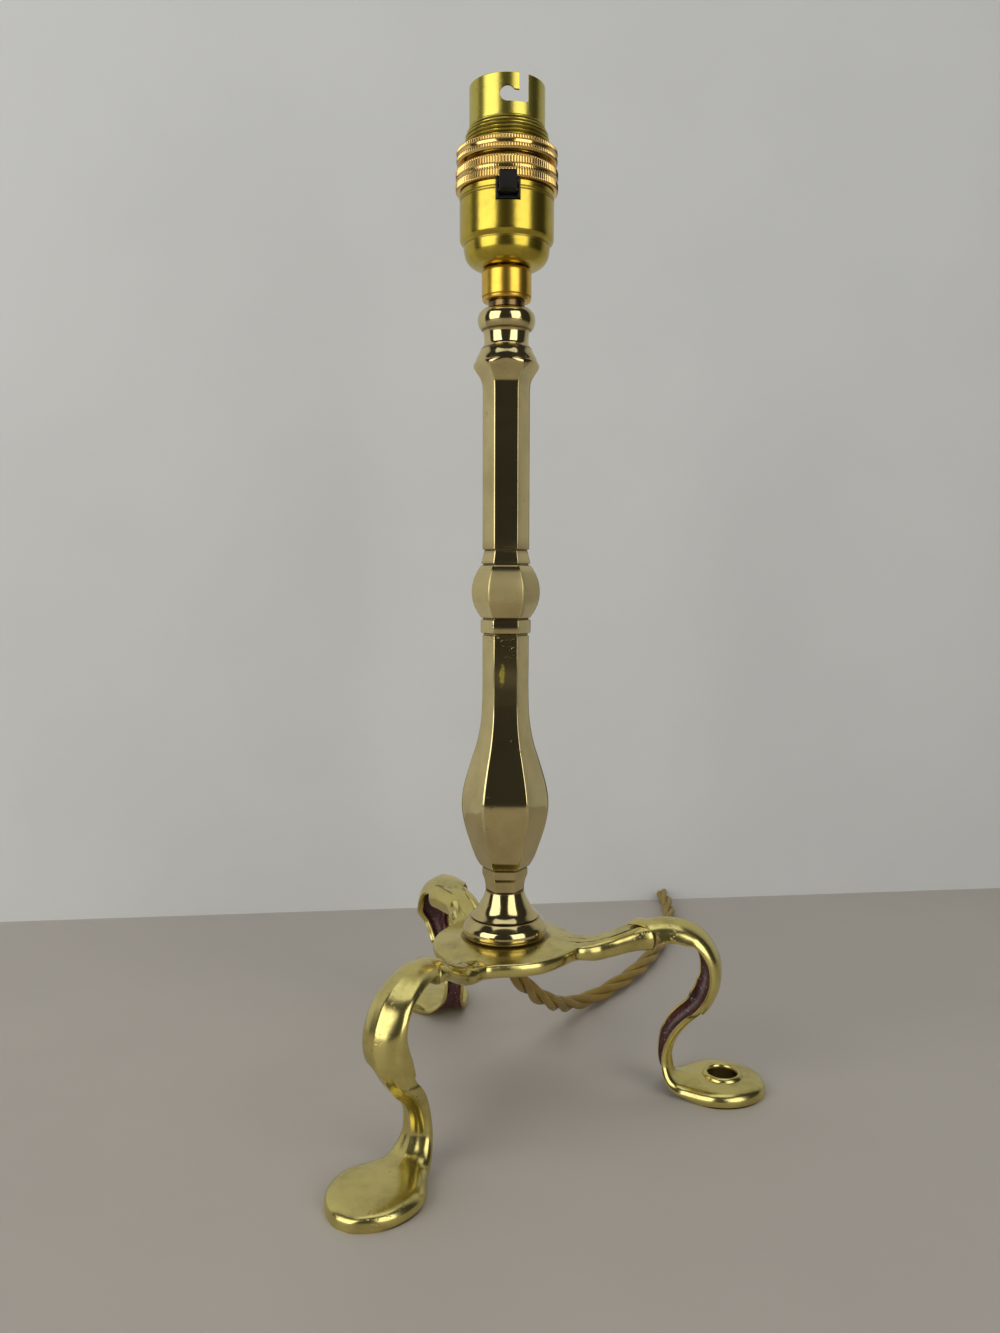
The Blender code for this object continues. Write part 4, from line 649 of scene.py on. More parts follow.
@dataclass(frozen=True)
class Moulding:
    """A plastic, ceramic or painted finish, its sizes in metres."""

    name: str
    colour: RGB
    second: RGB
    rough: tuple[float, float]
    lump_size: float = 0.0009
    lump_depth: float = 0.00001
    painted_glint_share: float = 0.0
    coat: float = 0.0
    # The pale colour of the painted highlights on the lumps' tops.
    painted_glint: RGB = (0.42, 0.35, 0.33)
    dull_share: float = 0.4

    def make(self, patterns: dict[str, bpy.types.NodeTree]) -> bpy.types.Material:
        """Lays out the material from its clouds and lumps, with painted highlights on the lumps'
        tops.

        Args:
            patterns: the shared patterns by name.

        Returns:
            The finished material.
        """
        finish = Finish(self.name, {"Coat Weight": self.coat, "Coat Roughness": 0.12})
        clouds = finish.noise(finish.where, 1 / (self.lump_size * 6), 3.0, 0.6)
        lumps = finish.noise(finish.where, 1 / self.lump_size, 2.0, 0.55)
        dirt_and_shade = finish.place(patterns["tarnish_and_shade"],
                            {"Cloud size": self.lump_size * 8, "Share": self.dull_share})
        colour = finish.mix(finish.ramp(clouds, 0.35, 0.68), self.colour, self.second)
        # Painted highlights: a pale colour on the highest lumps, which the bump raises.
        if self.painted_glint_share:
            painted_glints = finish.ramp(finish.math("ADD", lumps, self.painted_glint_share), 0.72, 0.8)
            colour = finish.mix(painted_glints, colour, self.painted_glint)
        rough = finish.ramp(dirt_and_shade["Dull"], 0.1, 0.8, *self.rough)
        return finish.end(colour, rough, finish.math("MULTIPLY", lumps, self.lump_depth))


@dataclass(frozen=True)
class Braid:
    """A braided silky sleeve, its threads laid by the piece's own UV map."""

    name: str
    bright: RGB
    shadow: RGB
    length: float
    threads: int = 12
    pick: float = 0.0011
    fibre_scale: float = 2400.0
    cloud_scale: float = 160.0
    fibre_depth: float = 0.00002
    thread_depth: float = 0.00012

    def make(self) -> bpy.types.Material:
        """Lays out two sets of threads that cross, one over the other."""
        finish = Finish(self.name, {"Sheen Weight": 0.1, "Sheen Roughness": 0.35})
        around, along, _ = finish.add("ShaderNodeSeparateXYZ", {0: finish.places["UV"]}).outputs
        steps = finish.math("MULTIPLY", along, self.length / self.pick)
        bands = finish.math("MULTIPLY", around, float(self.threads))
        waves = []
        for lean in (0.5, -0.5):
            way = finish.math("MULTIPLY_ADD", steps, lean, bands)
            wave = finish.math("SINE", finish.math("MULTIPLY", way, math.tau))
            waves.append(finish.math("MULTIPLY_ADD", wave, 0.5, 0.5))
        over = finish.math("MAXIMUM", *waves)
        fibre = finish.noise(finish.where, self.fibre_scale, 2.0, 0.6)
        clouds = finish.noise(finish.where, self.cloud_scale, 2.0, 0.5)
        lit = finish.math("MULTIPLY", finish.ramp(over, 0.35, 0.95),
                          finish.ramp(fibre, 0.2, 0.7, 0.6, 1.0))
        lit = finish.math("MULTIPLY", lit, finish.ramp(clouds, 0.3, 0.65, 0.7, 1.0))
        height = finish.math("MULTIPLY", over, self.thread_depth)
        height = finish.math("MULTIPLY_ADD", fibre, self.fibre_depth, height)
        rough = finish.ramp(over, 0.0, 1.0, 0.62, 0.4)
        return finish.end(finish.mix(lit, self.shadow, self.bright), rough, height)


@dataclass(frozen=True)
class Backdrop:
    """A plain matte studio surface, which may show from its front only."""

    name: str
    colour: RGB
    rough: float
    one_sided: bool
    darker: float = 0.96

    def make(self) -> bpy.types.Material:
        """Lays out the plain surface with a faint unevenness."""
        finish = Finish(self.name, {"Roughness": self.rough})
        cloud = finish.ramp(finish.noise(finish.where, 9.0, 3.0), 0.3, 0.7)
        darker = tuple(value * self.darker for value in self.colour)
        finish.feed("Base Color", finish.mix(cloud, darker, self.colour))
        if self.one_sided:
            back = finish.add("ShaderNodeNewGeometry").outputs["Backfacing"]
            finish.feed("Alpha", finish.math("SUBTRACT", 1.0, back))
        return finish.material


class Finishes:
    """Every finish of the lamp, made once."""

    def __init__(self) -> None:
        """Makes the shared patterns, then each material from them."""
        self.patterns = {"metal_skin": metal_skin(), "tarnish_and_shade": tarnish_and_shade(),
                         "turning_lines": turning_lines()}
        self.column = self.make(Metal(
            "column_brass", (0.68, 0.565, 0.27), (0.17, 0.11, 0.045), (0.10, 0.26), 0.24, 0.014,
            0.009, 0.000024, 0.0012, 0.00006, -0.02, brushed=(0.1775, 0.1905),
            smear=(-0.0012, -0.0072, 0.1530),
        ))
        self.casting = self.make(Metal(
            "cast_brass", (0.72, 0.62, 0.22), (0.17, 0.12, 0.035), (0.22, 0.42), 0.34, 0.010,
            0.006, 0.000045, 0.0010, 0.00008, 0.02, 0.000001,
            rough_patch=(-0.0110, -0.0268, 0.0560),
        ))
        self.holder = self.make(Metal(
            "holder_brass", (0.56, 0.43, 0.060), (0.24, 0.16, 0.03), (0.22, 0.36), 0.25, 0.004,
            0.005, 0.000004, 0.0008, 0.000005, -0.10, 0.000005, 0.000004, 0.00035,
        ))
        self.barrel = self.make(Metal(
            "barrel_brass", (0.60, 0.51, 0.10), (0.06, 0.035, 0.008), (0.26, 0.38), 0.04, 0.004,
            0.005, 0.000004, 0.0008, 0.000005, -0.10, 0.000005, 0.000004, 0.00035,
        ))
        self.ring = self.make(Metal(
            "ring_brass", (0.84, 0.58, 0.19), (0.14, 0.07, 0.02), (0.13, 0.27), 0.08, 0.004,
            0.004, 0.000004, 0.0008, 0.000004, -0.10, 0.0000015, 0.000003, 0.0003,
        ))
        self.coupler = self.make(Metal(
            "coupler_brass", (0.78, 0.50, 0.07), (0.30, 0.17, 0.03), (0.28, 0.42), 0.25, 0.005,
            0.004, 0.000004, 0.0008, 0.000004, -0.10, 0.0, 0.000007, 0.0003,
        ))
        self.steel = self.make(Metal(
            "plated_steel", (0.62, 0.61, 0.58), (0.25, 0.23, 0.20), (0.16, 0.35), 0.2, 0.003,
            line_depth=0.000003,
        ))
        self.paint = self.make(Moulding(
            "red_paint", (0.045, 0.006, 0.004), (0.11, 0.014, 0.010), (0.30, 0.55), 0.0008, 0.00024,
            0.08, 0.2,
        ))
        self.black = self.make(Moulding(
            "black_plastic", (0.006, 0.006, 0.008), (0.012, 0.012, 0.014), (0.13, 0.28), 0.0006,
            0.000004,
        ))
        self.phenolic = self.make(Moulding(
            "moulded_insulator", (0.016, 0.011, 0.008), (0.030, 0.020, 0.014), (0.25, 0.45), 0.0007,
            0.000006,
        ))
        self.ceramic = self.make(Moulding(
            "fuse_ceramic", (0.62, 0.60, 0.54), (0.50, 0.47, 0.41), (0.25, 0.45), 0.0010, 0.000005,
        ))
        self.cores = {
            name: self.make(Moulding(f"core_{name}", tone, tuple(v * 0.7 for v in tone),
                                     (0.3, 0.5)))
            for name, tone in (("brown", (0.16, 0.06, 0.02)), ("blue", (0.03, 0.09, 0.30)),
                               ("green", (0.20, 0.36, 0.03)))
        }
        self.braid = Braid("gold_braid", (0.62, 0.41, 0.05), (0.05, 0.026, 0.003), 1.72).make()

    def make(self, finish: Metal | Moulding) -> bpy.types.Material:
        """Makes one finish with the shared patterns."""
        return finish.make(self.patterns)


# ---- Studio


@dataclass
class Studio:
    """Camera, floor, wall and lights, laid out as in the photograph."""

    eye: Vector = Vector((-0.00196, -0.37342, 0.18728))
    pitch: float = 0.08524
    roll: float = 0.0026
    focal_share: float = 1050.19 / 1333
    wall_left: Vector = Vector((-0.2728, 0.1823, 0.0))
    wall_right: Vector = Vector((0.3016, 0.2498, 0.0))
    wall_reach: float = 1.6
    floor_reach: float = 3.0
    sensor: float = 24.0
    box_away: float = 1.05
    box_height: float = 0.52
    box_side: float = 0.95
    room: RGB = (0.036, 0.035, 0.034)

    def camera(self) -> None:
        """Stands the camera at the photograph's place and angle."""
        data = bpy.data.cameras.new("camera")
        camera = bpy.data.objects.new("camera", data)
        bpy.context.scene.collection.objects.link(camera)
        data.sensor_fit = "VERTICAL"
        data.sensor_height = self.sensor
        data.lens = self.sensor * self.focal_share
        data.clip_start = 0.01
        data.clip_end = 30.0
        level = Matrix.Rotation(math.pi / 2 - self.pitch, 4, "X")
        tilt = Matrix.Rotation(self.roll, 4, "Z")
        camera.matrix_world = Matrix.Translation(self.eye) @ level @ tilt
        bpy.context.scene.camera = camera
        bpy.context.scene.view_settings.view_transform = "Standard"

    def floor(self) -> None:
        """Lays the pale floor under the lamp."""
        clear()
        bpy.ops.mesh.primitive_plane_add(size=2 * self.floor_reach, location=(0, 0, 0))
        floor = named("studio_floor")
        dress(floor, Backdrop("floor_paper", (0.50, 0.46, 0.41), 0.6, False).make())

    def wall(self) -> None:
        """Stands the plain wall behind the lamp, along the photograph's line of wall and floor."""
        clear()
        along = (self.wall_right - self.wall_left).normalized()
        middle = (self.wall_left + self.wall_right) / 2
        bpy.ops.mesh.primitive_grid_add(x_subdivisions=1, y_subdivisions=1, size=1,
                                        location=(0, 0, 0))
        wall = named("studio_wall")
        low = [middle - along * self.wall_reach, middle + along * self.wall_reach]
        high = [point + Vector((0, 0, self.wall_reach)) for point in low]
        for vertex, place in zip(wall.data.vertices, [*low, *high]):
            vertex.co = place
        bpy.ops.object.mode_set(mode="EDIT")
        bpy.ops.mesh.select_all(action="SELECT")
        bpy.ops.mesh.normals_make_consistent(inside=False)
        clear()
        if wall.data.polygons[0].normal.y > 0:
            wall.data.flip_normals()
        wall.visible_shadow = False
        dress(wall, Backdrop("wall_paint", (0.76, 0.775, 0.77), 0.7, True).make())

    def light(self, name: str, place: Sequence[float], target: Sequence[float],
              size: tuple[float, float],
              radiance: float, tint: RGB) -> None:
        """Hangs one softbox that faces a target.

        Args:
            name: the light's name.
            place: where it hangs.
            target: the point that it faces.
            size: its width and height.
            radiance: how bright its face is.
            tint: its colour.
        """
        data = bpy.data.lights.new(name, "AREA")
        data.shape = "RECTANGLE"
        data.size, data.size_y = size
        data.energy = radiance * math.pi * size[0] * size[1]
        data.color = tint
        lamp = bpy.data.objects.new(name, data)
        bpy.context.scene.collection.objects.link(lamp)
        way = Vector(target) - Vector(place)
        turn = way.to_track_quat("-Z", "Y").to_matrix().to_4x4()
        lamp.matrix_world = Matrix.Translation(place) @ turn

    def lights(self) -> None:
        """Hangs the two front softboxes, the top light and the faint room light."""
        centre = (0.0, 0.0, 0.22)
        boxes = (("softbox_left", -49.0, 0.86, 2.3), ("softbox_right", 38.0, 0.70, 2.1))
        for name, degrees, width, radiance in boxes:
            angle = math.radians(degrees)
            across, ahead = math.sin(angle) * self.box_away, -math.cos(angle) * self.box_away
            self.light(name, (across, ahead, self.box_height), centre, (width, self.box_side),
                       radiance, (1.0, 0.985, 0.955))
        self.light("top_light", (0.0, 0.0, 1.5), (0.0, 0.02, 0.0), (1.3, 1.0), 1.0,
                   (0.97, 0.985, 1.0))
        world = bpy.data.worlds.new("room")
        world.use_nodes = True
        world.node_tree.nodes["Background"].inputs[0].default_value = (*self.room, 1.0)
        bpy.context.scene.world = world

    def build(self) -> None:
        """Sets up the whole studio."""
        self.camera()
        self.floor()
        self.wall()
        self.lights()
        log.info("studio: camera, floor, wall and lights")


# ---- The flex


@dataclass
class Flex:
    """The twisted three-core flex: riser, free run, tied coil and tail to the plug, in metres."""

    radius: float = 0.0033
    strand_radius: float = 0.00156
    strand_offset: float = 0.00172
    twist_pitch: float = 0.058
    step: float = 0.0012
    sides: int = 10
    exit_z: float = 0.0518
    riser_top: float = 0.2988
    coil_centre: Vector = Vector((0.05, 0.29, 0.0))
    coil_outer: float = 0.041025
    coil_inner: float = 0.031575
    coil_bottom: float = 0.0051
    layer_pitch: float = 0.0071
    turns: float = 5.25
    layers: int = 4
    per_turn: int = 24
    tie_angle: float = 205.0
    tie_across: tuple[float, float] = (0.0279, 0.0447)
    tie_upright: tuple[float, float] = (0.0014, 0.0301)
    tie_thickness: float = 0.0011
    tie_half_width: float = 0.0030
    tie_corner: float = 0.0004
    tie_power: float = 0.32
    tie_steps: int = 64
    grip_points: int = 19
    plug_entry: Vector = Vector((-0.034, 0.2973, 0.0097))

    def free_route(self) -> list[tuple[float, float, float]]:
        """The points that the flex passes from the bush to the coil."""
        return [
            (0.0, 0.0, 0.0515), (0.0, 0.0, 0.0480), (0.0026, 0.0032, 0.0421),
            (0.0070, 0.0105, 0.0350), (0.0115, 0.0200, 0.0271), (0.0161, 0.0280, 0.0214),
            (0.0206, 0.0380, 0.0157), (0.0250, 0.0500, 0.0102), (0.0300, 0.0600, 0.0066),
            (0.0360, 0.0692, 0.0044), (0.0427, 0.0774, 0.0035), (0.0504, 0.0877, 0.0034),
            (0.0587, 0.0997, 0.0034), (0.0679, 0.1163, 0.0034), (0.0767, 0.1368, 0.0034),
            (0.0852, 0.1622, 0.0034), (0.0902, 0.1833, 0.0034), (0.0928, 0.2043, 0.0034),
            (0.0930, 0.2230, 0.0035), (0.0922, 0.2450, 0.0038), (0.0912, 0.2680, 0.0048),
        ]

    def coil_route(self) -> list[Vector]:
        """The coil's points: in and out at a steady rate, a layer up at each reversal."""
        count = round(self.turns * self.per_turn)
        reversal = self.turns / self.layers
        points = []
        for n in range(count + 1):
            turn = self.turns * n / count
            layer = min(int(turn / reversal), self.layers - 1)
            share = turn / reversal - layer
            inward = share if layer % 2 == 0 else 1 - share
            radius = self.coil_outer - (self.coil_outer - self.coil_inner) * inward
            climbs = [min(max((turn - k * reversal) / 0.5 + 0.5, 0.0), 1.0)
                      for k in range(1, self.layers)]
            height = self.coil_bottom + self.layer_pitch * sum(climbs)
            angle = math.tau * turn
            points.append(self.coil_centre + turned(radius, angle, height))
        return points

    def tail_route(self) -> list[tuple[float, float, float]]:
        """The points that the flex passes from the coil to the plug."""
        return [
            (0.0300, 0.3311, 0.0255), (0.0160, 0.3305, 0.0225), (0.0030, 0.3275, 0.0180),
            (-0.0110, 0.3225, 0.0140), (-0.0230, 0.3160, 0.0112), (-0.0340, 0.3039, 0.0097),
            tuple(self.plug_entry),
        ]

    def centreline(self) -> list[Vector]:
        """The whole free flex as evenly spaced points."""
        route = [Vector(point) for point in self.free_route()]
        route += self.coil_route()
        route += [Vector(point) for point in self.tail_route()]
        return even_line(smooth_line(route, 8), self.step)

    def strands(self, name: str, path: Sequence[Vector]) -> bpy.types.Object:
        """Twists three strands round a path.

        Args:
            name: the finished piece's name.
            path: the flex's centreline.

        Returns:
            The three strands as one piece.
        """
        frames = carried_frames(path)
        lengths = [0.0]
        for a, b in zip(path, path[1:]):
            lengths.append(lengths[-1] + (b - a).length)
        turns = [math.tau * k / self.sides for k in range(self.sides)]
        pieces = []
        for strand in range(3):
            rows: list[Row] = []
            for centre, (across, over), length in zip(path, frames, lengths):
                phase = math.tau * (length / self.twist_pitch + strand / 3)
                out = across * math.cos(phase) + over * math.sin(phase)
                side = over * math.cos(phase) - across * math.sin(phase)
                lean = math.tau * self.strand_offset / self.twist_pitch
                way = across.cross(over)
                flat = (side - way * lean).normalized()
                middle = centre + out * self.strand_offset
                rows.append([middle + (out * math.cos(a) + flat * math.sin(a)) * self.strand_radius
                             for a in turns])
            rows = [[sum(rows[0], Vector()) / self.sides] * self.sides, *rows,
                    [sum(rows[-1], Vector()) / self.sides] * self.sides]
            pieces.append(wrap(f"{name}_strand", rows, degrees=70.0))
        return joined(name, pieces)

    def tie(self) -> bpy.types.Object:
        """The strap round the coil's turns, as one closed band."""
        (inner, outer), (low, high) = self.tie_across, self.tie_upright
        thick, wide, cut = self.tie_thickness, self.tie_half_width, self.tie_corner
        middle = Vector(((inner + outer) / 2, (low + high) / 2))
        half = Vector(((outer - inner) / 2, (high - low) / 2))
        spin = Matrix.Rotation(math.radians(self.tie_angle), 4, "Z")
        turn = Matrix.Translation(self.coil_centre) @ spin
        rows = []
        for n in range(self.tie_steps):
            angle = math.tau * n / self.tie_steps
            x, z = (math.copysign(abs(way) ** self.tie_power, way)
                    for way in (math.cos(angle), math.sin(angle)))
            near = middle + Vector((half.x * x, half.y * z))
            far = middle + Vector(((half.x + thick) * x, (half.y + thick) * z))
            shoulder = near.lerp(far, 0.7)
            ring = [(near, -wide), (near, wide), (shoulder, wide), (far, wide - cut),
                    (far, cut - wide), (shoulder, -wide)]
            rows.append([turn @ Vector((place.x, across, place.y)) for place, across in ring])
        return wrap("flex_tie_strap", rows, ring=True)

    def build(self, finishes: Finishes, plug_pieces: Sequence) -> None:
        """Args:
            finishes: the lamp's finishes.
            plug_pieces: the pieces on the far end; not used.
        """
        path = self.centreline()
        flex = self.strands("braided_flex", path)
        settle(flex, Body.LAMP, finishes.braid, "flex_free", "flex_coil", "flex_tail")
        riser = even_line([Vector((0, 0, self.exit_z)), Vector((0, 0, self.riser_top))],
                          self.step * 2)
        inside = self.strands("flex_riser", riser)
        settle(inside, Body.LAMP, finishes.braid, "flex_in_column")
        tie = self.tie()
        settle(tie, Body.LAMP, finishes.black, "flex_tie")
        grip = tube("plug_flex_grip", path[-self.grip_points:],
                    lambda share: 0.0037 + 0.0014 * share
                    + 0.0003 * math.sin(share * math.tau * 4.5), 24)
        settle(grip, Body.LAMP, finishes.black)


# ---- The plug


@dataclass(frozen=True)
class Pin:
    """One pin of the plug: its node, its size, its place in the plan and its way out, in metres."""

    node: str
    size: tuple[float, float, float]
    place: tuple[float, float]
    way: tuple[float, float]


PINS = (
    Pin("plug_live_pin", (0.0063, 0.0040, 0.0217), (-0.0451, 0.283), (0.0069, 0.0046)),
    Pin("plug_neutral_pin", (0.0063, 0.0040, 0.0217), (-0.0229, 0.283), (0.0069, 0.0046)),
    Pin("plug_earth_pin", (0.0040, 0.0080, 0.0267), (-0.034, 0.2608), (0.0046, 0.0086)),
)


@dataclass
class Plug:
    """The fused three-pin plug that lies on its cover, in metres."""

    centre_x: float = -0.034
    entry_y: float = 0.297
    width: float = 0.050
    length: float = 0.050
    corner: float = 0.0055
    slope: float = 0.28
    ribs: int = 4
    rib_z: float = 0.0040
    rib_pitch: float = 0.0019
    rib_inset: float = 0.0024
    rib_step: float = 0.0004
    flex_z: float = 0.0097
    face_z: float = 0.0216
    screw_y: float = 0.2759
    tip_drop: float = 0.0012
    tip_inset: float = 0.0008
    cover_foot: Line = ((0.0, 0.0065), (0.0004, 0.0045), (0.0014, 0.0032), (0.0030, 0.0027))
    cover_rim: Line = ((0.0124, 0.0004), (0.0130, 0.0006))
    base_levels: Line = (
        (0.0133, 0.0006), (0.0139, 0.0002), (0.0186, 0.0002), (0.0200, 0.0008), (0.0206, 0.0020),
        (0.0208, 0.0034), (0.0208, 0.0060), (0.0204, 0.0066), (0.0204, 0.0090),
    )

    def outline(self, inset: float, z: float) -> Row:
        """The plan of the plug at a height, drawn in by an inset, with rounded corners."""
        half = self.width / 2 - inset
        front, back = self.entry_y - inset, self.entry_y - self.length + inset
        side_end = back + self.slope * self.length / 2
        nose = half * (1 - self.slope)
        corners = [Vector(place) for place in (
            (half, front), (-half, front), (-half, side_end), (-nose, back), (nose, back),
            (half, side_end))]
        points: Row = []
        for before, corner, after in zip([corners[-1], *corners], corners,
                                         [*corners[1:], corners[0]]):
            start = corner + (before - corner).normalized() * self.corner
            end = corner + (after - corner).normalized() * self.corner
            for step in range(7):
                t = step / 6
                place = start * (1 - t) ** 2 + corner * 2 * t * (1 - t) + end * t**2
                points.append(Vector((self.centre_x + place.x, place.y, z)))
        return points

    def stack(self, name: str, levels: Sequence[tuple[float, float]]) -> bpy.types.Object:
        """Builds a shell from (height, inset) levels, closed below and above."""
        rows = [self.outline(inset, z) for z, inset in levels]
        middle = Vector((self.centre_x, self.entry_y - self.length / 2, 0.0))
        lowest = [middle + Vector((0, 0, levels[0][0]))] * len(rows[0])
        highest = [middle + Vector((0, 0, levels[-1][0]))] * len(rows[0])
        return wrap(name, [lowest, *rows, highest], degrees=30.0)

    def build(self, finishes: Finishes) -> list:
        """Makes the two mouldings and the pins, and dresses the screw and fuse.

        Args:
            finishes: the lamp's finishes.

        Returns:
            The pieces that lie on the flex's far end.
        """
        levels = list(self.cover_foot)
        for n in range(self.ribs):
            z = self.rib_z + self.rib_pitch * n
            inset = self.rib_inset - self.rib_step * n
            levels += [(z, inset), (z + 0.0003, inset + 0.0007), (z + 0.0008, inset + 0.0007),
                       (z + 0.0011, inset)]
        cover = self.stack("plug_cover_moulding", [*levels, *self.cover_rim])
        carve(cover,
              rod("flex_way", 0.0042, 0.008, (self.centre_x, self.entry_y, self.flex_z), Axis.Y))
        settle(cover, Body.LAMP, finishes.black, "plug_cover")
        base = self.stack("plug_base_moulding", self.base_levels)
        for pin in PINS:
            carve(base, block("pin_way", (*pin.way, 0.010), (*pin.place, self.face_z)))
        carve(base, rod("screw_way", 0.0025, 0.010, (self.centre_x, self.screw_y, self.face_z),
                        Axis.Z))
        settle(base, Body.LAMP, finishes.black, "plug_base")
        blades = []
        for pin in PINS:
            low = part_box(pin.node)[0][2]
            blade = block(f"{pin.node}_blade", pin.size, (*pin.place, low + pin.size[2] / 2))
            self.taper(blade)
            soften(blade, 0.0003, 2)
            blades.append(settle(blade, Body.LAMP, finishes.ring, pin.node))
        dress_nodes(finishes.steel, "plug_cover_screw")
        dress_nodes(finishes.ceramic, "plug_fuse")
        kept = [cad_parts[name] for name in ("plug_cover_screw", "plug_fuse")]
        return [cover, base, *blades, *kept]

    def taper(self, pin: bpy.types.Object) -> None:
        """Chamfers a pin's end: its top face is lowered, then drawn in and raised again."""
        take(pin)
        bpy.ops.object.mode_set(mode="EDIT")
        bpy.ops.mesh.select_mode(type="FACE")
        bpy.ops.mesh.select_all(action="DESELECT")
        bpy.ops.object.mode_set(mode="OBJECT")
        for face in pin.data.polygons:
            face.select = face.normal.z > 0.9
        bpy.ops.object.mode_set(mode="EDIT")
        bpy.ops.transform.translate(value=(0, 0, -self.tip_drop))
        bpy.ops.mesh.inset(thickness=self.tip_inset, depth=self.tip_drop)
        bpy.ops.mesh.select_mode(type="VERT")
        clear()


# ---- The base


def swept(across: float) -> float:
    """How far a leaf's upper edge lies back from its tip, at a share of the half width."""
    return 0.0108 * abs(across) ** 1.25


@dataclass(frozen=True)
class Arm:
    """One arm of the plate: its angle in degrees, its climb and its thickness in metres."""

    degrees: float
    rise: float = 0.0050
    thickness: float = 0.0080
    fat: float = 1.0
    climb: Line = (
        (0.0, 0.0), (0.20, 0.02), (0.35, 0.10), (0.54, 0.36), (0.73, 0.69), (0.88, 0.93),
        (1.0, 1.0))


ARMS = (
    Arm(-1.6),
    Arm(117.0, fat=1.14, climb=((0.0, 0.0), (0.12, 0.08), (0.22, 0.34), (0.34, 0.66), (0.5, 0.87),
                                (0.73, 0.95), (1.0, 1.0))),
    Arm(240.9, rise=0.0064, thickness=0.0052),
)


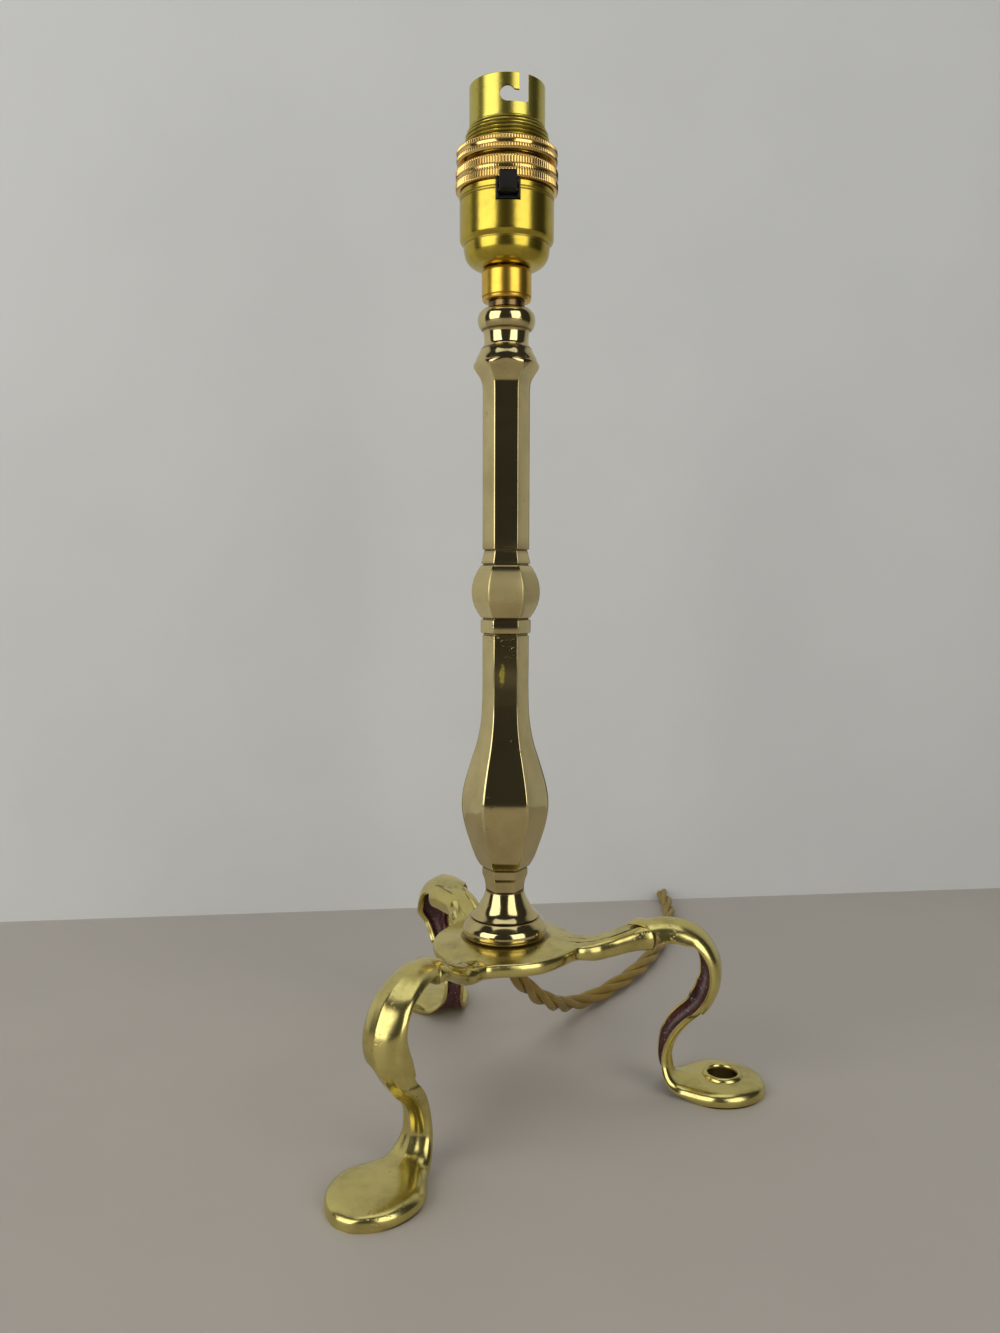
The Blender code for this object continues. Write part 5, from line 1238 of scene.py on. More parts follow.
@dataclass
class BasePlate:
    """The cast plate with three arms, in metres."""

    top_z: float = 0.0571
    seat_radius: float = 0.0156
    hub_thickness: float = 0.0041
    edge_thickness: float = 0.0048
    valley_radius: float = 0.0262
    valley_drop: float = 0.0018
    arm_radius: float = 0.0520
    hole_radius: float = 0.0058
    bar_rise: float = 0.0009
    bar_start: float = 0.0285
    bar_full: float = 0.036
    under_roll: float = 0.0018
    roll_line: Line = ((0.027, 0.0015), (0.032, 0.0024), (0.038, 0.0042), (0.044, 0.0053))

    def half_arm(self, arm: Arm) -> list[Vector]:
        """Half of one arm's plan along +X, from its end back to the valley."""
        points = [
            (0.0540, 0.0000), (0.0546, 0.0025), (0.0546, 0.0046), (0.0535, 0.0063),
            (0.0510, 0.0069), (0.0478, 0.0069), (0.0437, 0.00635), (0.0390, 0.00585),
            (0.0350, 0.0059), (0.0318, 0.0068),
        ]
        points = [(x, y * arm.fat) for x, y in points]
        valley = ((1.07, 16.0), (1.01, 24.0), (0.995, 34.0), (0.995, 46.0))
        points += [
            (math.cos(math.radians(a)) * self.valley_radius * r,
             math.sin(math.radians(a)) * self.valley_radius * r)
            for r, a in valley
        ]
        return [Vector(point) for point in points]

    def outline(self) -> list[Vector]:
        """The whole plan, anticlockwise, smoothed."""
        points = []
        for arm, following in zip(ARMS, (ARMS[1].degrees, ARMS[2].degrees, ARMS[0].degrees + 360)):
            half = self.half_arm(arm)
            mirrored = [Vector((p.x, -p.y)) for p in reversed(half)]
            middle = math.radians((arm.degrees + following) / 2)
            turn = Matrix.Rotation(math.radians(arm.degrees), 2)
            points += [turn @ p for p in [*mirrored[:-1], *half]]
            points.append(Vector((math.cos(middle), math.sin(middle))) * self.valley_radius)
        return smooth_line([*points, points[0]], 6)[:-1]

    def nearest(self, place: Vector) -> Arm:
        """The arm that a place in the plan belongs to."""
        angle = math.atan2(place.y, place.x)
        return max(ARMS, key=lambda arm: math.cos(angle - math.radians(arm.degrees)))

    def top(self, radius: float, arm: Arm) -> float:
        """The height of an arm's upper side at a distance from the axis."""
        valley = self.top_z - self.valley_drop
        rise = arm.rise + self.valley_drop
        reach = self.arm_radius - self.valley_radius
        climb = [(self.valley_radius + reach * a, valley + rise * b) for a, b in arm.climb]
        bar = ((self.bar_start, 0.0), (self.bar_full, self.bar_rise),
               (self.arm_radius, self.bar_rise * 0.8))
        return between(radius, [(self.seat_radius, self.top_z), *climb]) + between(radius, bar)

    def thickness(self, radius: float, arm: Arm) -> float:
        """The thickness of an arm at a distance from the axis."""
        return between(radius, ((self.seat_radius, self.hub_thickness),
                                (self.valley_radius, self.edge_thickness),
                                (self.arm_radius, arm.thickness)))

    def build(self, finishes: Finishes) -> None:
        """Wraps the casting over the top, round the rolled rim and back underneath."""
        outline = self.outline()
        count = len(outline)
        columns = []
        for n, edge in enumerate(outline):
            along = outline[(n + 1) % count] - outline[n - 1]
            inward = Vector((-along.y, along.x)).normalized()
            ray = edge.normalized()
            radius = edge.length
            arm = self.nearest(edge)
            thick = self.thickness(radius, arm)
            roll = between(radius, self.roll_line)
            tuck = min(roll, self.under_roll)
            inset = edge + inward * roll
            seat = ray * self.seat_radius
            column = []
            for share in (0.0, 0.45, 1.0):
                place = (ray * self.hole_radius).lerp(seat, share)
                column.append(Vector((place.x, place.y, self.top_z)))
            for share in (0.06, 0.12, 0.25, 0.4, 0.55, 0.7, 0.82, 0.92, 1.0):
                place = seat.lerp(inset, share)
                column.append(Vector((place.x, place.y, self.top(place.length, arm))))
            upper = self.top(inset.length, arm)
            bar = between(radius, ((self.bar_start, 0.0), (self.bar_full, self.bar_rise)))
            lower = upper - thick - bar
            middle = lower + (upper - lower) * 0.42
            for step in range(1, 16):
                angle = math.pi * step / 16
                above = angle < math.pi / 2
                width, height = (roll, upper - middle) if above else (tuck, middle - lower)
                out = edge + inward * width * (1 - math.sin(angle) ** 0.9)
                up = math.copysign(abs(math.cos(angle)) ** 0.9, math.cos(angle))
                column.append(Vector((out.x, out.y, middle + height * up)))
            inset = edge + inward * tuck
            for share in (1.0, 0.8, 0.55, 0.3, 0.0):
                place = seat.lerp(inset, share)
                under = self.top_z - self.hub_thickness
                column.append(Vector((place.x, place.y,
                                      under + (lower - under) * ease(share * 1.2))))
            place = ray * self.hole_radius
            column.append(Vector((place.x, place.y, self.top_z - self.hub_thickness)))
            columns.append(column)
        rows = [list(row) for row in zip(*columns)]

        def shade_and_grime(point: Vector) -> float:
            """Painted shade round the foot of the column, at the arms' ends and along the leaves'
            edges.
            """
            radius = point.xy.length
            foot = bell(radius - 0.0153, 0.0007) if point.z > self.top_z - 0.001 else 0.0
            turn = math.radians(self.nearest(point.xy).degrees)
            across = abs(point.y * math.cos(turn) - point.x * math.sin(turn)) / 0.0066
            leaf_edge = bell(radius - 0.0446 - swept(across), 0.0007)
            return max(foot, 0.7 * ease((radius - 0.0535) / 0.001),
                       leaf_edge * (point.z > self.top_z - 0.002))

        plate = wrap("plate_casting", rows, ring=True, shade_and_grime=shade_and_grime, degrees=60.0)
        settle(plate, Body.LAMP, finishes.casting, "base_plate")


@dataclass
class Leg:
    """One S-shaped leg: its hollow casting, and the leaf over its arm and knee, in metres."""

    name: str
    bearing: Line
    spread: float
    holed: bool
    tip_side: int
    tip_line: Line
    near_flange: Line = ((0.0, 1.0), (1.0, 1.0))
    far_flange: Line = ((0.0, 1.0), (1.0, 1.0))
    waist: float = 1.0
    arch: Line = ((0.0, 0.0), (1.0, 0.0))
    top_z: float = 0.0632
    start: float = 0.0523
    knee: float = 0.0791
    ankle: float = 0.0616
    half_width: float = 0.0077
    depth: float = 0.0066
    wall: float = 0.0013
    pad_radius: float = 0.0790
    pad_half_length: float = 0.0172
    pad_half_width: float = 0.0150
    pad_thickness: float = 0.0058
    heel_rise: float = 0.0022
    step: float = 0.0006
    lead: Line = ((0.0436, 0.0603), (0.0460, 0.0614), (0.0490, 0.0626))
    hole_radius: float = 0.0800
    lip: float = 1.0
    arch_low: float = 0.045
    shear: float = 0.0032
    shear_fade: float = 0.010
    bare_below: float = 0.010
    bare_beyond: float = 0.066
    leaf_start: float = 0.0016
    leaf_sunk: float = 0.0009

    def stations(self) -> list[Vector]:
        """The crest's stations: radius, height, half width, depth, hollow, pad share and ridge."""
        out, back = self.knee - self.start, self.knee - self.ankle
        drop = self.top_z - self.pad_thickness
        upper = (
            (0.00, 0.010, 0.84, 1.16, 0.30, 0.0), (0.12, 0.000, 0.85, 1.10, 0.40, 0.0),
            (0.26, -0.006, 0.86, 1.05, 0.60, 0.1), (0.41, 0.000, 0.89, 1.02, 0.80, 0.2),
            (0.56, 0.019, 0.92, 1.00, 0.86, 0.3), (0.70, 0.053, 0.95, 0.97, 0.86, 0.3),
            (0.82, 0.104, 0.97, 0.94, 0.86, 0.3), (0.915, 0.172, 0.98, 0.91, 0.86, 0.3),
            (0.975, 0.245, 0.98, 0.88, 0.86, 0.3), (0.995, 0.326, 0.97, 0.86, 0.86, 0.3),
        )
        lower = (
            (0.03, 0.413, 0.92, 0.84, 0.86, 0.4), (0.13, 0.499, 0.82, 0.79, 0.84, 0.6),
            (0.275, 0.570, 0.72, 0.70, 0.82, 0.8), (0.435, 0.620, 0.68, 0.65, 0.80, 1.0),
            (0.635, 0.669, 0.66, 0.65, 0.80, 1.0), (0.81, 0.725, 0.66, 0.65, 0.78, 1.0),
            (0.945, 0.791, 0.67, 0.66, 0.72, 1.0), (1.00, 0.857, 0.71, 0.68, 0.60, 1.0),
            (0.985, 0.915, 0.80, 0.72, 0.42, 1.0),
        )
        pad = (
            (-0.87, 0.52, 1.22, 0.25, 0.2, 1.0, 0.9), (-0.68, 0.68, 1.05, 0.0, 0.5, 0.35, 0.7),
            (-0.44, 0.86, 1.00, 0.0, 0.8, 0.0, 0.45), (-0.20, 0.97, 1.00, 0.0, 1.0, 0.0, 0.2),
            (0.05, 1.00, 1.00, 0.0, 1.0, 0.0, 0.0), (0.32, 0.95, 0.99, 0.0, 1.0, 0.0, 0.0),
            (0.58, 0.82, 0.94, 0.0, 1.0, 0.0, 0.0), (0.80, 0.61, 0.85, 0.0, 1.0, 0.0, 0.0),
            (0.94, 0.36, 0.70, 0.0, 1.0, 0.0, 0.0), (1.00, 0.16, 0.50, 0.0, 1.0, 0.0, 0.0),
        )
        found = []
        for radius, side in ((lambda a: self.start + out * a, upper),
                             (lambda a: self.knee - back * a, lower)):
            for along, down, wide, deep, hollow, ridge in side:
                slim = self.waist if side is lower else 1.0
                found.append((radius(along), self.top_z - drop * down,
                              self.half_width * wide * slim,
                              self.depth * deep, hollow, 0.0, ridge))
        for along, wide, high, hollow, share, lift, ridge in pad:
            thick = self.pad_thickness * high
            found.append((self.pad_radius + self.pad_half_length * along, thick,
                          self.pad_half_width * wide,
                          thick - self.heel_rise * lift, hollow, share, ridge))
        moved = [(r, z, self.half_width * 0.88, self.depth * 1.15, 0.2, 0.5, 0.0)
                 for r, z in self.lead]
        moved += [(r + self.spread * (1 - z / self.top_z) ** 3, z, *rest) for r, z, *rest in found]
        moved = [(r, z + between(r, self.arch) * (z > self.arch_low), *rest)
                 for r, z, *rest in moved]
        return even_line(smooth_line(moved, 10), self.step, 2)

    def crown(self, ridge: float, pad: float) -> list[tuple[float, float]]:
        """The outer side of a section from left to right, as shares of half width and depth."""
        channel = ((-1.00, 1.00), (-1.00, 0.86), (-0.97, 0.70), (-0.90, 0.50), (-0.74, 0.28),
                   (-0.50, 0.115), (-0.25, 0.03), (0.0, 0.0))
        flat = ((-0.93, 1.00), (-0.985, 0.84), (-1.00, 0.60), (-0.97, 0.36), (-0.88, 0.16),
                (-0.70, 0.045), (-0.35, 0.0), (0.0, 0.0))
        left = []
        for n, ((a, b), (c, d)) in enumerate(zip(channel, flat)):
            across, down = a * (1 - pad) + c * pad, b * (1 - pad) + d * pad
            fall = 0.22 * ridge * (1 - math.exp(-abs(across) / 0.15)) * (1 - 0.45 * pad)
            left.append((across, down + fall * (1 - down)))
        fine = [tuple(p) for p in smooth_line(left, 3)]
        return fine + [(-across, down) for across, down in reversed(fine[:-1])]

    def section(self, station: Vector) -> list[tuple[float, float]]:
        """A whole section as (across, down): the crown from left to right, then the hollow back."""
        _, height, half, deep, hollow, pad, ridge = station
        sides = [1 + (eased(height, line) - 1) * (1 - pad)
                 for line in (self.near_flange, self.far_flange)]

        def depth(across: float, share: float) -> float:
            """The depth at a place, with each flange as deep as its side says."""
            side = sides[0] if across < 0 else sides[1]
            return share * deep * (1 + (side - 1) * min(abs(across), 1.0) ** 1.5)

        outer = [(a * half, depth(a, d)) for a, d in self.crown(ridge, pad)]
        inside = max(half - self.wall, half / 2)
        cave = max(deep - self.wall, 0.0) * hollow
        floor = deep - cave
        backs = []
        for side in sides:
            edge = deep * side
            rise = edge - floor
            backs.append([(inside + self.wall * 0.45, edge), (inside, edge - rise * 0.06),
                          (inside * 0.94, edge - rise * 0.45), (inside * 0.74, floor + rise * 0.17),
                          (inside * 0.38, floor + rise * 0.02), (0.0, floor)])
        return outer + backs[1] + [(-a, d) for a, d in reversed(backs[0][:-1])]

    def place(self, radius: float, across: float, height: float) -> Vector:
        """Turns a point of the leg's own plane to its angle round the axis."""
        angle = math.radians(eased(height, self.bearing))
        return Vector((radius * math.cos(angle) - across * math.sin(angle),
                       radius * math.sin(angle) + across * math.cos(angle), height))

    def downs(self, stations: Sequence[Vector]) -> list[Vector]:
        """The way from the crest into the leg at each station, in the leg's own plane."""
        found = []
        for n, station in enumerate(stations):
            before, after = stations[max(n - 2, 0)], stations[min(n + 2, len(stations) - 1)]
            along = Vector((after[0] - before[0], after[1] - before[1])).normalized()
            down = Vector((along.y, -along.x)).lerp(Vector((0.0, -1.0)), station[5])
            found.append(down.normalized())
        return found

    def skin(self) -> tuple[list[Vector], list[Row]]:
        """The stations, and the section wrapped round at each of them."""
        stations = self.stations()
        rows = []
        for station, down in zip(stations, self.downs(stations)):
            row = []
            for across, depth in self.section(station):
                z = max(station[1] + down.y * depth, 0.0)
                row.append(self.place(station[0] + down.x * depth, across, z))
            rows.append(row)
        return stations, rows

    def casting(self, stations: Sequence[Vector], rows: Sequence[Row]) -> bpy.types.Object:
        """The leg itself: its painted hollow back, and a start that is cut back at both sides.

        Args:
            stations: the crest's stations.
            rows: the wrapped sections.

        Returns:
            The casting.
        """
        first = next(n for n, station in enumerate(stations) if station[0] >= self.start)
        sheared = []
        crown = self.crown(0.0, 0.0)
        shares = [abs(a) for a, _ in crown]
        shares += [1.0] * (len(rows[0]) - len(crown))
        fading = self.shear_fade / self.step
        for n in range(first, len(rows)):
            fade = max(1 - (n - first) / fading, 0.0)
            row = []
            for k, share in enumerate(shares):
                at = n + self.shear / self.step * share**2 * fade
                low = min(int(at), len(rows) - 2)
                row.append(rows[low][k].lerp(rows[low + 1][k], at - low))
            sheared.append(row)
        count = len(rows[0])
        slots = [1 if len(crown) < n < count - 2 else 0 for n in range(count)]
        ends = [[sum(row, Vector()) / count] * count for row in (sheared[0], sheared[-1])]

        def shade_and_grime(point: Vector) -> float:
            """Painted shadow under the leaf's lower end."""
            angle = math.radians(eased(point.z, self.bearing))
            across = (point.y * math.cos(angle) - point.x * math.sin(angle)) / self.half_width
            tip = between(across * self.tip_side, self.tip_line)
            return bell(point.z - tip + 0.0006, 0.0008)

        casting = wrap(f"{self.name}_casting", [ends[0], *sheared, ends[1]], slots=slots,
                       shade_and_grime=shade_and_grime, degrees=50.0)
        for face in casting.data.polygons:
            if face.center.z < self.bare_below and face.center.xy.length > self.bare_beyond:
                face.material_index = 0
        return casting

    def leaf(self, stations: Sequence[Vector], rows: Sequence[Row]) -> bpy.types.Object:
        """The leaf over the arm's end and the knee, pointed over the arm and at one side below.

        Args:
            stations: the crest's stations.
            rows: the wrapped sections, whose crown the leaf follows.

        Returns:
            The leaf, a closed sheet that stands a little proud of the leg.
        """
        crown = self.crown(0.0, 0.0)
        columns = [k for k, (a, d) in enumerate(crown) if d < 0.93]
        spans = []
        for k in columns:
            across = crown[k][0]
            begin = (self.leaf_start + swept(across)) / self.step
            low = between(across * self.tip_side, self.tip_line)
            end = max(n for n, station in enumerate(stations) if station[1] > low)
            over = stations[end][1] - low
            spans.append((begin, end + over / max(stations[end][1] - stations[end + 1][1], 0.0001)))
        lift_line = ((0.0, -0.0005), (0.05, 0.0001), (0.12, 0.0003), (0.5, 0.00035), (0.8, 0.0005),
                     (0.93, 0.0009 * self.lip), (0.985, 0.00105 * self.lip), (1.0, 0.0005))
        sheet: list[Row] = []
        steps = 84
        shares = [0.004, 0.012, 0.02, *(n / steps for n in range(3, steps - 2)), 0.985, 0.993, 1.0]
        for share in [0.0, *shares]:
            top, under = [], []
            for (begin, end), k in zip(spans, columns):
                at = begin + (end - begin) * share
                low = int(at)
                here = rows[low][k].lerp(rows[low + 1][k], at - low)
                along = rows[low + 1][k] - rows[low][k]
                beside = rows[low][k + 1] - rows[low][k - 1] if k else rows[low][1] - rows[low][0]
                normal = beside.cross(along).normalized()
                side = abs(crown[k][0]) ** 9
                lift = between(share, lift_line) * (1 - 0.4 * side) - 0.0002 * side * (share < 0.75)
                top.append(here + normal * lift)
                under.append(here - normal * self.leaf_sunk)
            sheet.append(top + list(reversed(under)))
        halfway = [[(a + b) / 2 for a, b in zip(row, reversed(row))]
                   for row in (sheet[0], sheet[-1])]
        return wrap(f"{self.name}_leaf", [halfway[0], *sheet, halfway[1]], degrees=60.0)

    def pierce(self, casting: bpy.types.Object, finishes: Finishes) -> bpy.types.Object:
        """Bores the pad and adds the rolled rim round the hole."""
        centre = self.place(self.hole_radius, 0.0, self.pad_thickness / 2)
        carve(casting, rod("pad_bore", 0.0056, 0.012, centre, Axis.Z, 64))
        rim = lathe("pad_rim", (
            (5.9, 0.3), (7.6, 5.0), (7.35, 5.6), (7.15, 5.95), (6.85, 6.45), (6.4, 6.85),
            (6.0, 6.95), (5.6, 6.75), (5.35, 6.3), (5.25, 5.6), (5.25, 5.0), (5.25, 0.4),
        ), 72, 80.0)
        # Painted shade on the wall of the hole, down inside it.
        mark_shade_and_grime(rim, lambda point: float(point.xy.length < 0.0055 and point.z < 0.0062))
        rim.data.transform(Matrix.Translation((centre.x, centre.y, 0.0)))
        dress(rim, finishes.casting)
        return joined(casting.name, [casting, rim])

    def build(self, finishes: Finishes) -> None:
        """Makes the leg and settles it."""
        stations, rows = self.skin()
        casting = self.casting(stations, rows)
        leaf = self.leaf(stations, rows)
        dress(casting, finishes.casting, finishes.paint)
        dress(leaf, finishes.casting)
        if self.holed:
            casting = self.pierce(casting, finishes)
        whole = joined(f"{self.name}_casting", [casting, leaf])
        settle(whole, Body.LAMP, None, self.name)


PLAIN_TIP: Line = ((-1.0, 0.0360), (0.0, 0.0322), (0.5, 0.0305), (0.85, 0.0292), (1.0, 0.0297))
STEEP_TIP: Line = (
    (-1.0, 0.0410), (-0.4, 0.0398), (0.0, 0.0376), (0.4, 0.0336), (0.8, 0.0303), (1.0, 0.0315))
LEGS = (
    Leg(
        "leg_right", bearing=((0.0, -1.6), (1.0, -1.6)), spread=0.0, holed=True, tip_side=-1,
        tip_line=PLAIN_TIP, knee=0.0783, pad_radius=0.0780, pad_half_width=0.0157,
        near_flange=(
            (0.012, 1.0), (0.024, 1.0), (0.028, 0.90), (0.034, 0.83), (0.060, 0.82),
            (0.0625, 0.97)),
        far_flange=(
            (0.012, 1.0), (0.024, 1.42), (0.030, 1.42), (0.036, 1.22), (0.042, 1.04), (0.056, 1.0)),
    ),
    Leg(
        "leg_back_left", spread=0.0050, holed=False, tip_side=1, tip_line=PLAIN_TIP, waist=0.77,
        bearing=((0.0, 111.5), (0.018, 110.4), (0.034, 111.8), (0.046, 113.2), (1.0, 113.4)),
        arch=((0.050, 0.0002), (0.060, -0.0012)),
        lead=((0.0436, 0.0606), (0.0460, 0.0614), (0.0490, 0.0621)),
    ),
    Leg(
        "leg_front_left", spread=0.0030, holed=False, tip_side=1, tip_line=STEEP_TIP,
        bearing=((0.0, 241.7), (0.014, 241.8), (0.029, 242.5), (0.046, 240.5), (1.0, 240.5)),
        far_flange=((0.016, 1.0), (0.032, 1.55), (0.037, 1.50), (0.057, 0.55), (0.0606, 0.50)),
        arch=((0.0436, 0.0016), (0.058, 0.0014), (0.066, 0.0003), (0.070, 0.0)),
        half_width=0.0073, lip=1.4, lead=((0.0436, 0.0591), (0.0460, 0.0606), (0.0490, 0.0622)),
    ),
)


# ---- The column


@dataclass
class Column:
    """The cast column, six-sided between its turned foot and neck, in millimetres."""

    arris: float = 0.5
    pillow: float = 0.12
    bore: float = 3.8

    def runs(self) -> list[tuple[int, tuple[tuple[float, float, float], ...]]]:
        """Smooth stretches of (height, radius, six-sided share), with sharp corners between."""
        return [
            (2, ((57.4, 13.9, 0), (57.75, 14.6, 0), (58.15, 14.98, 0), (58.6, 15.13, 0))),
            (1, ((58.75, 15.11, 0), (58.9, 14.97, 0), (59.05, 15.13, 0))),
            (4, ((59.15, 15.17, 0), (60.4, 15.2, 0), (61.9, 14.78, 0), (63.0, 13.9, 0),
                 (64.0, 12.95, 0), (64.35, 12.55, 0))),
            (1, ((64.45, 12.2, 0), (64.65, 11.8, 0), (64.85, 12.1, 0))),
            (4, ((65.0, 12.32, 0), (65.35, 12.0, 0), (66.9, 10.45, 0), (68.9, 9.2, 0),
                 (71.05, 8.0, 0), (73.1, 7.2, 0), (74.1, 6.95, 0))),
            (1, ((74.2, 6.85, 0), (74.4, 6.9, 1))),
            (4, ((74.55, 7.1, 1), (76.3, 7.13, 1), (78.3, 7.55, 1), (79.6, 8.1, 1), (80.5, 8.25, 1),
                 (82.3, 8.25, 1))),
            (1, ((82.45, 8.15, 1), (82.55, 7.8, 1), (82.8, 7.75, 1), (82.95, 8.3, 1))),
            (5, ((83.1, 8.8, 1), (83.4, 9.1, 1), (86.4, 10.8, 1), (91.44, 12.65, 1),
                 (98.23, 14.75, 1), (105.45, 15.8, 1), (112.66, 14.9, 1), (121.15, 12.5, 1),
                 (127.95, 10.33, 1), (136.44, 8.75, 1), (146.62, 8.3, 1), (156.0, 8.3, 1),
                 (166.5, 8.3, 1))),
            (1, ((166.75, 7.95, 1), (167.1, 7.9, 1), (167.3, 8.4, 1))),
            (1, ((167.55, 8.85, 1), (167.8, 8.95, 1), (171.8, 8.95, 1), (172.05, 8.85, 1))),
            (1, ((172.3, 8.25, 1), (172.55, 8.2, 1), (172.75, 8.6, 1))),
            (4, ((172.98, 8.9, 1), (175.23, 10.35, 1), (178.24, 11.67, 1), (182.0, 12.2, 1),
                 (185.76, 11.67, 1), (188.77, 10.42, 1), (190.84, 9.16, 1), (191.3, 8.7, 1))),
            (1, ((191.5, 8.05, 1), (191.75, 8.1, 1))),
            (2, ((191.95, 8.78, 1), (194.15, 8.24, 1), (196.3, 7.75, 1))),
            (1, ((196.5, 7.55, 1), (196.75, 7.7, 1))),
            (4, ((196.95, 8.3, 1), (215.0, 8.3, 1), (235.0, 8.3, 1), (248.0, 8.3, 1),
                 (252.2, 8.33, 1), (254.81, 8.65, 1), (257.13, 9.85, 1), (258.87, 11.45, 1),
                 (260.2, 13.0, 1), (261.4, 14.6, 1))),
            (4, ((261.5, 10.88, 0), (262.93, 10.4, 0), (264.67, 9.48, 0), (265.9, 8.98, 0))),
            (3, ((266.1, 8.75, 0), (267.26, 7.94, 0), (268.94, 7.7, 0), (271.18, 7.89, 0),
                 (272.1, 8.3, 0))),
            (3, ((272.3, 8.6, 0), (273.48, 9.58, 0), (275.56, 10.05, 0), (277.78, 9.63, 0),
                 (279.1, 8.5, 0))),
            (1, ((279.3, 8.0, 0), (279.6, 6.5, 0), (279.9, 6.3, 0), (281.7, 6.3, 0))),
        ]

    def corner_angles(self) -> list[float]:
        """The columns' angles, close together at the six arrises."""
        offsets = (0, 0.8, 1.8, 3.2, 5.2, 8, 12, 18, 25, 30, 35, 42, 48, 52, 54.8, 56.8, 58.2, 59.2)
        return [math.radians(60 * sector + offset) for sector in range(6) for offset in offsets]

    def reach(self, angle: float, radius: float, height: float, six: float) -> float:
        """The reach from the axis at an angle: rounded arrises, crowned faces, or plain round."""
        within = abs(angle % math.radians(60) - math.radians(30))
        off_corner = math.radians(30) - within
        flat = radius * math.cos(math.radians(30))
        soft = self.arris * (radius / 8.3) ** 0.7
        nib = (flat - soft) / math.cos(math.radians(30))
        tangent = math.radians(30) - math.atan((flat - soft) * math.tan(math.radians(30)) / flat)
        if off_corner < tangent:
            beyond = math.sqrt(max(soft**2 - (nib * math.sin(off_corner)) ** 2, 0))
            hexed = nib * math.cos(off_corner) + beyond
        else:
            share = math.tan(within) / math.tan(math.radians(30))
            hexed = flat / math.cos(within) - self.pillow * (radius / 8.3) * share**4
        if six and 255.0 < height < 262.0:
            spun = between(height, ((257.0, 12.4), (259.0, 12.2), (260.2, 11.8), (261.4, 10.95)))
            blend = max(3.0 - abs(hexed - spun), 0.0) * ease((262.0 - height) / 1.5)
            return min(hexed, spun) - blend**2 / 12
        return radius * (1 - six) + hexed * six

    def build(self, finishes: Finishes) -> None:
        """Wraps the column outside, then its socket and bore."""
        angles = self.corner_angles()
        line = [Vector((53.0, 5.5, 0.0)), Vector((57.35, 5.5, 0.0))]
        for steps, points in self.runs():
            line += smooth_line(points, steps)
        line += [Vector(p) for p in (
            (281.7, 5.3, 0.0), (273.3, 5.3, 0.0), (273.3, self.bore, 0.0), (56.3, self.bore, 0.0),
            (56.3, 4.7, 0.0), (53.0, 4.7, 0.0))]
        grooves = (58.9, 64.65, 74.3, 82.65, 167.0, 172.45, 191.6, 196.6, 266.0, 272.2, 279.5)

        def shade_and_grime(point: Vector) -> float:
            """Darker in each groove of the turning, with painted shade on the neck under the
            coupler.
            """
            height = point.z / MM
            return max(ease((height - 279.3) / 0.5),
                       *(bell(height - groove, 0.38) for groove in grooves))

        rows = [
            [turned(self.reach(angle, radius, height, six) * MM, angle, height * MM)
             for angle in angles]
            for height, radius, six in line
        ]
        column = wrap("column_casting", rows, ring=True, shade_and_grime=shade_and_grime, degrees=24.0)
        settle(column, Body.LAMP, finishes.column, "column")


# ---- The holder


# How far right of the axis the switch stands, in metres.
SWITCH_X = 0.0003


